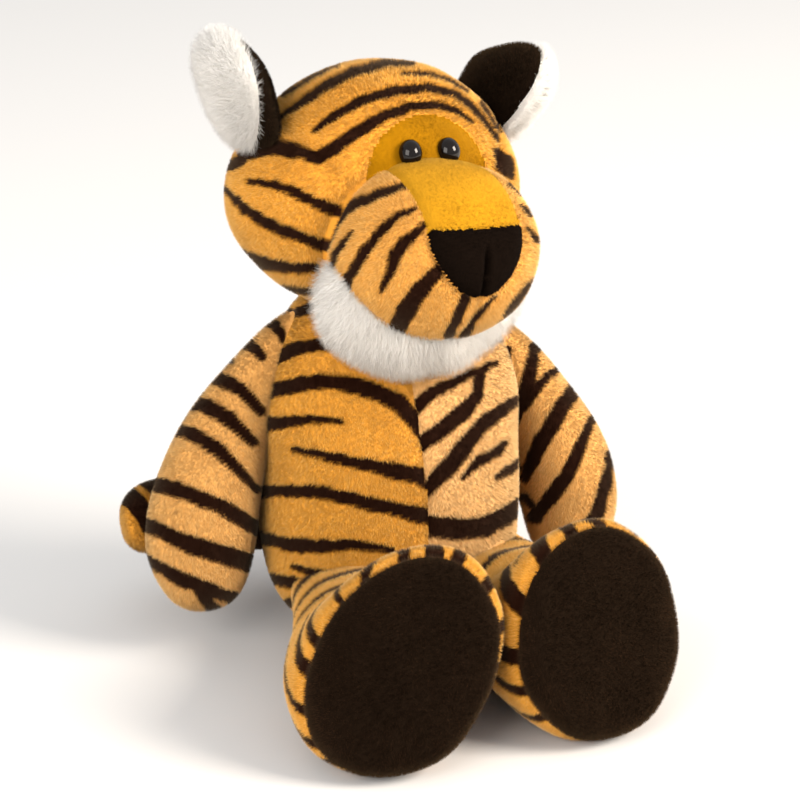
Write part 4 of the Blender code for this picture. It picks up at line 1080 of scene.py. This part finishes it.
# How tufts vary: the share of the nap that they reach, how far their heading swirls, and over what distance
REACH_SHARES = (0.85, 1.08)
SWIRL = 0.12
SWIRL_SCALE = 0.03
# A stripe's edge is ragged by this much in millimetres, and fades by this much a millimetre
RAGGED_EDGE = 0.3
EDGE_FADE = 1.6
# Tufts start this far under the cloth, whose own tip value is that of a tuft near its foot
ROOT_DEPTH = 0.0003
CLOTH_TIP = 0.1


def dress(skin, body, panels, others=(), comb=combed((0, 0, -1.0))):
    """Splits a skin into its panels, grows their pile and hangs them on a body."""
    centres = np.array([skin.points[list(f)].mean(0) for f in skin.faces])
    local_centres = skin.local(centres)
    vertex_normals = skin.normals()
    densest = max(panel.per_mm2 for panel in panels)
    roots, normals = skin.scatter(densest)
    clear = np.ones(len(roots), bool)
    for other, spare in others:
        clear &= ~world_holds(other, roots, spare)
    roots, normals = roots[clear], normals[clear]
    local_roots = skin.local(roots)
    taken_faces = np.zeros(len(skin.faces), bool)
    taken_roots = np.zeros(len(roots), bool)
    for panel in panels:
        mine = panel.where(local_centres) & ~taken_faces
        taken_faces |= mine
        numbers = np.flatnonzero(mine)
        used = np.unique(np.concatenate([np.array(skin.faces[i]) for i in numbers]))
        renumber = np.full(len(skin.points), -1)
        renumber[used] = np.arange(len(used))
        faces = [tuple(int(renumber[v]) for v in skin.faces[i]) for i in numbers]
        cover = mesh_object(panel.name, skin.points[used], faces, panel.material)
        stripe = np.clip(0.5 + STRIPE_SPREAD + panel.paint(skin.points[used], vertex_normals[used]), 0, 1)
        # The covers' tone darkens the orange cloth under the pile: painted shade in creases and gaps
        for layer, values in (("stripe", stripe), ("tip", np.full(len(used), CLOTH_TIP)),
                              ("tone", np.full(len(used), panel.cloth_tone_and_painted_shade)),
                              ("painted_light", panel.painted_light(skin.local(skin.points[used])))):
            set_attribute(cover.data, layer, values)
        set_attribute(cover.data, "nap", vertex_normals[used], "FLOAT_VECTOR")
        mine_roots = panel.where(local_roots) & ~taken_roots
        taken_roots |= mine_roots
        keep = mine_roots & (rng.uniform(size=len(roots)) < panel.per_mm2 / densest)
        at, up = roots[keep], normals[keep]
        count = len(at)
        noise = rng.normal(size=(count, 3)) * panel.spread
        swirl = shifts(at, SWIRL_SCALE, (21, 22, 23), SWIRL)
        heading = unit(up + panel.lean * comb(at, up) + noise + swirl)
        reach = panel.nap * rng.uniform(*REACH_SHARES, count)
        mark = panel.paint(at, up) + STRIPE_SPREAD + rng.normal(size=count) * RAGGED_EDGE
        stripes = np.clip(0.5 + mark * EDGE_FADE, 0, 1)
        pile = grow(panel.name + "_pile", at - up * ROOT_DEPTH, up, heading, reach, panel.width, panel.bend,
                    stripes, panel.painted_light(skin.local(at)), panel.material, panel.long_hair)
        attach(cover, body)
        pile.parent = cover
        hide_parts(*panel.nodes)


# Seams, creases and dents, each as its depth and how far it spreads
TORSO_SEAM = (0.0016, 0.0032)
ARM_DENT = (0.0035, 0.012)
MUZZLE_SEAM = (0.0030, 0.0045)
CROWN_SEAM = (0.0013, 0.003)
FOREHEAD_SEAM = (0.0007, 0.0026)
HEAD_MIDDLE_SEAM = (0.0010, 0.003)
NOSE_SEAM = (0.0014, 0.0018)
NOSE_CREASE = (0.0034, 0.0016)
PATCH_SEAM = (0.0010, 0.0022)
CHIN_SEAM = (0.0012, 0.0026)
EAR_SEAM = (0.0008, 0.0016)
SOLE_SEAM = (0.0018, 0.003)
# The torso's seam drifts to the tiger's right up the chest
SEAM_DRIFT = 0.085
SEAM_DRIFT_START = 0.095
# No pile grows further than this inside another form
BODY_GAP = 0.0010
# The thighs are slacker than their solids, so the torso's pile goes on this far inside them
THIGH_ROOM = 0.012
# The photographed patch sits a little to the tiger's left and is narrower than the solid's
FOREHEAD_ASIDE = 0.0022
FOREHEAD_NARROW = 0.93
# The muzzle sits a little to the tiger's left of the head's middle, and is narrower than the solid's
MUZZLE_ASIDE = 0.0018
MUZZLE_NARROW = 0.965
NOSE_LOW = MUZZLE_MIDDLE[2] + NOSE_TOP - NOSE_HEIGHT
# The nose stands out from the muzzle by this much, within this distance from its seam
NOSE_PUFF = 0.0042
NOSE_PUFF_SPREAD = 0.0035
TOP_PATCH_OVERLAP = 0.003


def torso_seam_gap(p):
    """How far a point lies to the left of the torso's seam."""
    return p[:, 0] + SEAM_DRIFT * np.maximum(p[:, 2] - SEAM_DRIFT_START, 0) + MM


def torso_gap(p):
    """How far a point lies outside the torso."""
    return np.maximum(TORSO.gap(p), 0)


def seat_gap(p):
    """Half a point's height, so that the hold at the seat reaches twice as far up as at a seam."""
    return p[:, 2] / 2


def crown_seam_gap(p):
    """How far beyond the crown seam a point lies, towards the cheek."""
    return (np.abs(p[:, 0]) * math.cos(CROWN_SEAM_SLOPE) - p[:, 2] * math.sin(CROWN_SEAM_SLOPE)
            - CROWN_SEAM_OFFSET)


def forehead_share(p):
    """1 at the forehead patch's edge, and less within it."""
    across = (p[:, 0] - FOREHEAD_ASIDE) / (FOREHEAD_HALF_WIDTH * FOREHEAD_NARROW)
    rise = (p[:, 2] - FOREHEAD_RISE) / FOREHEAD_HALF_HEIGHT
    return across**2 + rise**2


def in_forehead(p):
    return (forehead_share(p) < 1) & (p[:, 1] < 0)


def forehead_edge_gap(p):
    """How far a point lies outside the patch's edge. The back of the head counts as a metre further."""
    return (np.sqrt(forehead_share(p)) - 1) * FOREHEAD_HALF_HEIGHT + (p[:, 1] > 0) * 1.0


def nose_half_width(rise_share):
    """Half width of the nose, as a share, at a height share from its lower point to its top."""
    heights = np.array([0.0, 0.01, 0.10, 0.28, 0.50, 0.70, 0.90, 0.97, 1.0])
    widths = np.array([0.0, 0.15, 0.40, 0.66, 0.86, 0.97, 1.0, 0.90, 0.0])
    return np.interp(rise_share, heights, widths, left=-1.0, right=-1.0)


def nose_edge_gap(p):
    """About how far inside the nose's outline a point lies, in metres."""
    share = (p[:, 2] - NOSE_LOW) / NOSE_HEIGHT
    aside = nose_half_width(share) * NOSE_HALF_WIDTH * MUZZLE_NARROW - np.abs(p[:, 0] - MUZZLE_ASIDE)
    top = (1 - share) * NOSE_HEIGHT
    inside = np.minimum(aside * 0.75, top)
    return np.where((p[:, 1] < MUZZLE_MIDDLE[1]) & (share > 0), inside, -1.0)


def in_nose(p):
    return nose_edge_gap(p) > 0


def in_top_patch(p):
    above = p[:, 2] > MUZZLE_MIDDLE[2] + NOSE_TOP - TOP_PATCH_OVERLAP
    return (np.abs(p[:, 0] - MUZZLE_ASIDE) < TOP_PATCH_HALF_WIDTH) & above


def sole_gap(side, p):
    """How far a point lies behind the sole's seam, towards the leg."""
    seam = sole_middle(side) - sole_normal(side) * SOLE_DEPTH
    return (seam - p) @ sole_normal(side)


SKINS = {
    "torso": Skin(TORSO, 0.0017, 11),
    "head": Skin(HEAD, 0.0016, 12),
    "muzzle": Skin(MUZZLE, 0.0014, 13),
    "arm_right": Skin(ARMS[RIGHT], 0.0016, 19),
    "arm_left": Skin(ARMS[LEFT], 0.0016, 21),
    "leg_right": Skin(LEGS[RIGHT], 0.0016, 29),
    "leg_left": Skin(LEGS[LEFT], 0.0016, 31),
    "tail": Skin(TAIL, 0.0016, 41),
}
settle(SKINS, {
    "torso": held_near(torso_seam_gap, seat_gap),
    "head": held_near(crown_seam_gap, forehead_edge_gap, MUZZLE.gap),
    "muzzle": held_near(nose_edge_gap, HEAD.gap),
    "arm_right": held_near(torso_gap),
    "arm_left": held_near(torso_gap),
    "leg_right": held_near(torso_gap, lambda p: sole_gap(RIGHT, p), seat_gap),
    "leg_left": held_near(torso_gap, lambda p: sole_gap(LEFT, p), seat_gap),
    "tail": held_near(torso_gap),
})

# Torso: two covers sewn down the middle, front and back
torso = SKINS["torso"]
torso.push(-SKIN_INSET)
torso.lumps(0.0009, 0.055)
torso.push(-groove(np.maximum(ARMS[LEFT].gap(torso.local()), 0), *ARM_DENT))
torso.push(-groove(torso_seam_gap(torso.local()), *TORSO_SEAM))
dress(torso, "torso", [
    Panel("torso_cover_right", lambda p: torso_seam_gap(p) < 0, TIGER_PLUSH,
          ("torso_cover_right", "torso_stuffing", "pellet_bag"), drawn_stripes(TORSO_RIGHT_STRIPES, TORSO)),
    # The left cover is painted paler at the front: painted light
    Panel("torso_cover_left", everywhere, TIGER_PLUSH, ("torso_cover_left", "seat_panel"),
          drawn_stripes(TORSO_LEFT_STRIPES, TORSO, far_lines=TORSO_RIGHT_STRIPES), painted_light=painted_light_in_front),
], [(HEAD, BODY_GAP), (ARMS[RIGHT], BODY_GAP), (ARMS[LEFT], BODY_GAP), (LEGS[RIGHT], THIGH_ROOM),
    (LEGS[LEFT], THIGH_ROOM), (TAIL, BODY_GAP)])

# Head: crown, two cheeks and the gold forehead patch
head = SKINS["head"]
head.push(-SKIN_INSET)
head.lumps(0.0007, 0.05)
head_local = head.local()
muzzle_gap = np.where(head_local[:, 1] < 0, np.abs(MUZZLE.gap(head_local)), 1.0)
eye_gap = np.hypot(np.abs(head_local[:, 0]) - EYE_SPACING / 2, head_local[:, 2] - EYE_RISE)
crown_gap = crown_seam_gap(head_local)
# The groove round the muzzle runs out before it meets the eyes
head.push(-groove(muzzle_gap, *MUZZLE_SEAM) * ease(0.009, 0.022, eye_gap))
head.push(-groove(crown_gap, *CROWN_SEAM) - groove(forehead_edge_gap(head_local), *FOREHEAD_SEAM)
          - groove(head_local[:, 0], *HEAD_MIDDLE_SEAM) * (crown_gap > 0))
head_paint = drawn_stripes(HEAD_FRONT_STRIPES + CHEEK_STRIPES, HEAD, FACE_WIDER,
                           back_lines=CHEEK_STRIPES + HEAD_BACK_STRIPES,
                           far_lines=HEAD_FRONT_STRIPES + CHEEK_STRIPES)
# The nap runs back from the nose and down the cheeks
HEAD_COMB = combed(carry(HEAD_PLACE, Y_AXIS[None], turn_only=True)[0] * 0.7 + (0, 0, -0.7))
dress(head, "head", [
    # The forehead patch's gold carries painted shade
    Panel("forehead_patch", in_forehead, FOREHEAD_PAINTED_SHADE_PLUSH, ("forehead_patch",), **FINE_PILE),
    Panel("head_crown_panel", lambda p: crown_seam_gap(p) < 0, TIGER_PLUSH,
          ("head_crown_panel", "head_stuffing"), head_paint),
    Panel("cheek_panel_right", lambda p: p[:, 0] < 0, TIGER_PLUSH, ("cheek_panel_right",), head_paint),
    Panel("cheek_panel_left", everywhere, TIGER_PLUSH, ("cheek_panel_left",), head_paint),
], [(MUZZLE, BODY_GAP), (TORSO, BODY_GAP), (BEARD, BODY_GAP)], HEAD_COMB)

# Muzzle: two side panels, the gold top and the puffed black nose with its crease
muzzle = SKINS["muzzle"]
muzzle.push(-SKIN_INSET)
muzzle.lumps(0.0005, 0.045)
muzzle_local = muzzle.local()
muzzle_local[:, 0] = muzzle_local[:, 0] * MUZZLE_NARROW + MUZZLE_ASIDE
muzzle.reshape(muzzle_local)
muzzle_aside = muzzle_local[:, 0] - MUZZLE_ASIDE
nose_gap = nose_edge_gap(muzzle_local)
nose_share = (muzzle_local[:, 2] - NOSE_LOW) / NOSE_HEIGHT
nose_rise = np.where(nose_gap > 0, NOSE_PUFF * (1 - np.exp(-np.maximum(nose_gap, 0) / NOSE_PUFF_SPREAD)), 0)
nose_crease = groove(muzzle_aside, *NOSE_CREASE) * (nose_gap > 0) * (1 - ease(0.55, 0.85, nose_share))
patch_edge = np.abs(np.abs(muzzle_aside) - TOP_PATCH_HALF_WIDTH)
patch_groove = groove(patch_edge, *PATCH_SEAM) * (muzzle_local[:, 2] > MUZZLE_MIDDLE[2] + NOSE_TOP)
nose_groove = groove(nose_gap, *NOSE_SEAM) * (nose_gap <= 0)
chin_groove = groove(muzzle_aside, *CHIN_SEAM) * (muzzle_local[:, 2] < NOSE_LOW)
muzzle.push(nose_rise - nose_crease - patch_groove - nose_groove - chin_groove)
muzzle_paint = drawn_stripes(MUZZLE_STRIPES, MUZZLE, FACE_WIDER, far_lines=MUZZLE_STRIPES, aside=MUZZLE_ASIDE)
dress(muzzle, "head", [
    Panel("nose", in_nose, NOSE_PLUSH, ("nose",), **FINE_PILE),
    Panel("muzzle_top_patch", in_top_patch, GOLD_PLUSH, ("muzzle_top_patch",), **FINE_PILE),
    # Both muzzle panels are painted a little paler: painted light
    Panel("muzzle_side_panel_right", lambda p: p[:, 0] < MUZZLE_ASIDE, TIGER_PLUSH,
          ("muzzle_side_panel_right", "muzzle_stuffing"), muzzle_paint,
          painted_light=evenly_painted_light(MUZZLE_PAINTED_LIGHT)),
    Panel("muzzle_side_panel_left", everywhere, TIGER_PLUSH, ("muzzle_side_panel_left",), muzzle_paint,
          painted_light=evenly_painted_light(MUZZLE_PAINTED_LIGHT)),
], [(HEAD, BODY_GAP)], HEAD_COMB)

# Beard: a band of long white fur under the muzzle
beard = Skin(BEARD, 0.0020, 14)
beard.push(-0.0035)
beard.reshape(beard.local() * (1.03, 1, 1) + (0.0, 0.0, 0.0025))
beard.lumps(0.0010, 0.03)


def comb_beard(points, normals):
    """The beard's fur sweeps down and outwards, away from the muzzle."""
    middle = carry(HEAD_PLACE, MUZZLE_MIDDLE[None])[0]
    return unit(unit(points - middle) * 0.8 + np.array([0, 0.15, -0.6]))


dress(beard, "head", [
    Panel("beard", everywhere, WHITE_FUR, ("beard",), nap=0.0072, width=0.00022,
          per_mm2=BEARD_PER_MM2, lean=1.4, spread=0.30, long_hair=True, bend=0.5, fill=0.6),
], [(MUZZLE, 0.0065), (HEAD, 0.004), (TORSO, BODY_GAP)], comb_beard)


# Ears: black short pile towards the head's middle, white long fur outside
def comb_ear(side):
    """The ear's fur fans out from its root and droops a little."""
    def comb(points, normals):
        up = carry(EARS[side].place, Z_AXIS[None], turn_only=True)[0]
        root = np.array(EARS[side].place.translation)
        return unit(unit(points - root) * 0.8 + up * 0.2 + np.array([0, 0, -0.35]))
    return comb


# How the seam leaves the ear's middle plane with height and towards the back, by side
EAR_SEAM_TILTS = {RIGHT: (0.20, 0.15), LEFT: (0.02, -0.24)}


def ear_seam_gap(side, p):
    """How far a point lies beyond the ear's seam, on its white side."""
    with_height, with_depth = EAR_SEAM_TILTS[side]
    return side * p[:, 0] - EAR_SEAM_OFFSET + with_height * p[:, 2] + with_depth * p[:, 1]


def on_black_side(side):
    """Where the ear's black panel lies."""
    return lambda p: ear_seam_gap(side, p) < 0


EAR_INSET = 0.0010
EAR_TUCK = 0.28
# Each ear's height share, and how much further than the solid it leans out and forward
EAR_POSES = {RIGHT: (1.0, 0.0, 0.0), LEFT: (0.95, math.radians(7), math.radians(10))}
for side in (RIGHT, LEFT):
    ear = Skin(ear_form(side), 0.0013, 15 + side)
    tall, lean, forward = EAR_POSES[side]
    ear.push(-EAR_INSET - groove(ear_seam_gap(side, ear.local()), *EAR_SEAM))
    if side == LEFT:
        # Its back corner is tucked down at the head
        local = ear.local()
        local[:, 2] *= 1 - EAR_TUCK * ease(-0.012, 0.03, local[:, 1])
        ear.reshape(local)
    turned = Matrix.Rotation(side * lean, 4, "Y") @ Matrix.Rotation(forward, 4, "X")
    ear.form.place = ear.form.place @ (turned @ Matrix.Diagonal((1, 1, tall, 1)))
    ear.points = carry(ear.form.place, carry(EARS[side].place.inverted(), ear.points))
    name = SIDE_NAMES[side]
    dress(ear, "ear_" + name, [
        Panel("ear_black_panel_" + name, on_black_side(side), BLACK_PLUSH, ("ear_black_panel_" + name,),
              nap=0.0022),
        Panel("ear_white_panel_" + name, everywhere, WHITE_FUR, ("ear_white_panel_" + name,), nap=0.0056,
              width=0.00018, per_mm2=EAR_FUR_PER_MM2, lean=1.2, spread=0.26, long_hair=True, bend=0.45,
              fill=0.4),
    ], [(HEAD, BODY_GAP)], comb_ear(side))

# Arms: full at the hand, which hangs a little away from the body
ARM_FULLER = {RIGHT: 1.05, LEFT: 0.99}
ARM_SWAYS = {RIGHT: (-0.0010, 0, -0.0035), LEFT: (0.0075, -0.0040, 0)}
for side, lines in ((RIGHT, RIGHT_ARM_STRIPES), (LEFT, LEFT_ARM_STRIPES)):
    name = SIDE_NAMES[side]
    arm = SKINS["arm_" + name]
    local = arm.local()
    along, aside, over = arm.form.parts(local)
    fuller = (ARM_FULLER[side] - 1) * ease(0.15, 0.6, along)
    local = local + np.outer(aside * fuller, arm.form.side) + np.outer(over * fuller, arm.form.across)
    local = local + np.outer(along**2, ARM_SWAYS[side])
    arm.reshape(local)
    arm.push(-SKIN_INSET)
    arm.lumps(0.0008, 0.04)
    # The arm cover is painted paler: painted light
    dress(arm, "arm_" + name, [
        Panel("arm_cover_" + name, everywhere, TIGER_PLUSH, ("arm_cover_" + name, "arm_stuffing_" + name),
              drawn_stripes(lines, ARMS[side]), painted_light=evenly_painted_light(ARM_PAINTED_LIGHT)),
    ], [(TORSO, BODY_GAP)])

# Legs and soles: the foot is tallest at the sole's seam, and the right one rolls outwards
SOLE_TALLER = 0.12
INSTEP_LOWER = 0.42
ANKLE_SLIM = 0.10
SOLE_ROLLS = {RIGHT: 0.24, LEFT: 0.02}
# Shares along the leg between which the foot, its roll, the lowered instep and the slim ankle set in
FOOT_SPAN = (0.58, 0.90)
ROLL_SPAN = (0.3, 0.85)
INSTEP_SPAN = (-0.1, 0.3)
ANKLE_SPAN = (0.25, 0.6)
# No point of a leg lies lower than this
LEG_FLOOR = 0.0008


def on_sole(side):
    """Where the sole lies."""
    return lambda p: sole_gap(side, p) < 0


for side, lines in ((RIGHT, RIGHT_LEG_STRIPES), (LEFT, LEFT_LEG_STRIPES)):
    name = SIDE_NAMES[side]
    leg = SKINS["leg_" + name]
    local = leg.local()
    along, aside, over = leg.form.parts(local)
    near = ease(*FOOT_SPAN, along)
    local = local + np.outer(over * ease(*ROLL_SPAN, along) * SOLE_ROLLS[side], leg.form.side)
    lower = INSTEP_LOWER * (1 - near) * ease(*INSTEP_SPAN, along)
    local = local + np.outer(np.maximum(over, 0) * (near * SOLE_TALLER - lower), leg.form.across)
    slimmer = ANKLE_SLIM * (1 - near) * ease(*ANKLE_SPAN, along) * ease(-0.01, 0.02, over)
    local = local - np.outer(aside * slimmer, leg.form.side)
    behind = sole_gap(side, local)
    leg.reshape(local)
    leg.push(-SKIN_INSET)
    leg.lumps(0.0009, 0.045)
    leg.push(-groove(behind, *SOLE_SEAM))
    leg.points[:, 2] = np.maximum(leg.points[:, 2], LEG_FLOOR)
    dress(leg, "leg_" + name, [
        Panel("sole_" + name, on_sole(side), BLACK_PLUSH, ("sole_" + name,), nap=0.0020),
        Panel("leg_cover_" + name, everywhere, TIGER_PLUSH, ("leg_cover_" + name, "leg_stuffing_" + name),
              leg_stripes(side, lines)),
    ], [(TORSO, BODY_GAP)], combed(-leg_heading(side) * 0.8 + (0, 0, -0.3)))

# Tail
tail = SKINS["tail"]
tail.push(-SKIN_INSET)
tail.lumps(0.0007, 0.035)
dress(tail, "tail", [
    Panel("tail_cover", everywhere, TIGER_PLUSH, ("tail_cover", "tail_stuffing"),
          drawn_stripes(TAIL_STRIPES, TAIL)),
], [(TORSO, BODY_GAP)], combed(TAIL.ahead + (0, 0, -0.4)))

# Neck band: the short collar that the head turns on, from below the head's lowest point to above it
NECK_LOW = 0.0036
NECK_HIGH = 0.0150
NECK_GAP = 0.0005
NECK = Form(np.array(HEAD_CENTRE) - (0, 0, HEAD_HALF_HEIGHT + NECK_LOW),
            np.array(HEAD_CENTRE) - (0, 0, HEAD_HALF_HEIGHT - NECK_HIGH), X_AXIS, NECK_BAND_RADIUS,
            NECK_BAND_RADIUS, fullness=0.3)
dress(Skin(NECK, 0.0018, 51), "neck", [
    Panel("neck_band", everywhere, TIGER_PLUSH, ("neck_band",), nap=0.0015),
], [(TORSO, NECK_GAP), (HEAD, NECK_GAP)])

# Eyes: domed acrylic, oval, seated on the forehead patch, and larger than the solids' by this factor
EYE_SWELL = 1.10


def surface_front(x, z):
    """The point of the head's front at a place across and up, in the head's own place."""
    low, high = -0.08, 0.0
    for _ in range(40):
        middle = (low + high) / 2
        if HEAD.holds(np.array([[x, middle, z]]))[0]:
            high = middle
        else:
            low = middle
    return np.array([x, high, z])


for side in (RIGHT, LEFT):
    x = side * EYE_SPACING / 2
    at = surface_front(x, EYE_RISE)
    step = 0.001
    across = surface_front(x + step, EYE_RISE) - surface_front(x - step, EYE_RISE)
    rise = surface_front(x, EYE_RISE + step) - surface_front(x, EYE_RISE - step)
    normal = unit(np.cross(across, rise))
    up = unit(Z_AXIS - normal * normal[2])
    right = np.cross(up, normal)
    rows = [[*row, shift] for row, shift in zip(np.stack([right, up, normal], 1), at)]
    dome = Form((0, 0, -EYE_DOME), (0, 0, EYE_DOME), X_AXIS, EYE_HALF_WIDTH * EYE_SWELL,
                EYE_HALF_HEIGHT * EYE_SWELL, place=HEAD_PLACE @ Matrix(rows + [[0, 0, 0, 1]]))
    eye = Skin(dome, 0.0003, 61)
    ball = mesh_object("eye_" + SIDE_NAMES[side], eye.points, eye.faces, EYE_ACRYLIC)
    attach(ball, "head")
    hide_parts("eye_" + SIDE_NAMES[side])

for name in ("eye_washer_right", "eye_washer_left"):
    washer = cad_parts[name]
    for slot in washer.material_slots:
        slot.material = WASHER_PLASTIC


# Floor, light and camera
def stage_material(name, seen, lit):
    """A pale matt sweep that keeps the shadow: one shade for the camera, and a paler one that gives light."""
    made, tree = new_material(name)
    rough = uneven_roughness(tree, 3.0, 2.0, 0.85, 0.95)
    by_camera = add(tree, "ShaderNodeLightPath").outputs["Is Camera Ray"]
    shade = add(tree, "ShaderNodeMix", {"Factor": by_camera, "A": linear(lit), "B": linear(seen)},
                data_type="RGBA")
    shader = add(tree, "ShaderNodeBsdfPrincipled", {"Base Color": shade.outputs["Result"],
                                                    "Roughness": rough})
    shader.inputs["Specular IOR Level"].default_value = 0.0
    add(tree, "ShaderNodeOutputMaterial", {"Surface": shader.outputs[0]})
    return made


FLOOR_HALF = 6.0
corners = np.array([[-1, -1, 0], [1, -1, 0], [1, 1, 0], [-1, 1, 0]]) * FLOOR_HALF
floor = mesh_object("floor", corners, [(0, 1, 2, 3)], stage_material("pale_floor", FLOOR_SEEN, FLOOR_LIT),
                    smooth=False)

world = bpy.data.worlds.new("studio")
bpy.context.scene.world = world
world.use_nodes = True
world.node_tree.nodes.clear()
rays = add(world.node_tree, "ShaderNodeLightPath").outputs
seen = add(world.node_tree, "ShaderNodeMath", {0: rays["Is Camera Ray"], 1: rays["Is Glossy Ray"]},
           operation="MAXIMUM")
seen = add(world.node_tree, "ShaderNodeMath", {0: seen.outputs[0], 1: rays["Is Transmission Ray"]},
           operation="MAXIMUM").outputs[0]
# The sky is plain white where it is seen, and gives a little more light than that
strength = add(world.node_tree, "ShaderNodeMapRange", {"Value": seen, "To Min": 1.15, "To Max": 1.0})
sky = add(world.node_tree, "ShaderNodeBackground", {"Color": (1, 1, 1, 1),
                                                    "Strength": strength.outputs["Result"]})
add(world.node_tree, "ShaderNodeOutputWorld", {"Surface": sky.outputs[0]})


def lamp(name, place, size, power, colour):
    """A square soft box that faces the tiger."""
    data = bpy.data.lights.new(name, "AREA")
    data.size = size
    data.energy = power
    data.color = linear(colour)[:3]
    ob = bpy.data.objects.new(name, data)
    bpy.context.collection.objects.link(ob)
    ob.location = place
    aim = Vector((0, 0, CAMERA_AIM_HEIGHT)) - Vector(place)
    ob.rotation_euler = aim.to_track_quat("-Z", "Y").to_euler()


lamp("key", (1.7, -1.5, 1.5), 1.1, 160, KEY_LIGHT)
lamp("fill", (-1.9, -1.4, 1.2), 1.6, 70, FILL_LIGHT)

camera = bpy.data.objects.new("camera", bpy.data.cameras.new("camera"))
bpy.context.collection.objects.link(camera)
camera.location = EYE_POINT
camera.rotation_euler = Matrix((ACROSS, LIFT, BACK)).transposed().to_euler()
camera.data.sensor_width = SENSOR_MM
camera.data.lens = SENSOR_MM * FOCAL_PX / FRAME_PX
camera.data.shift_x = (FRAME_PX / 2 - AIM_PX[0]) / FRAME_PX
camera.data.shift_y = (AIM_PX[1] - FRAME_PX / 2) / FRAME_PX
bpy.context.scene.camera = camera
bpy.context.scene.view_settings.view_transform = "Standard"
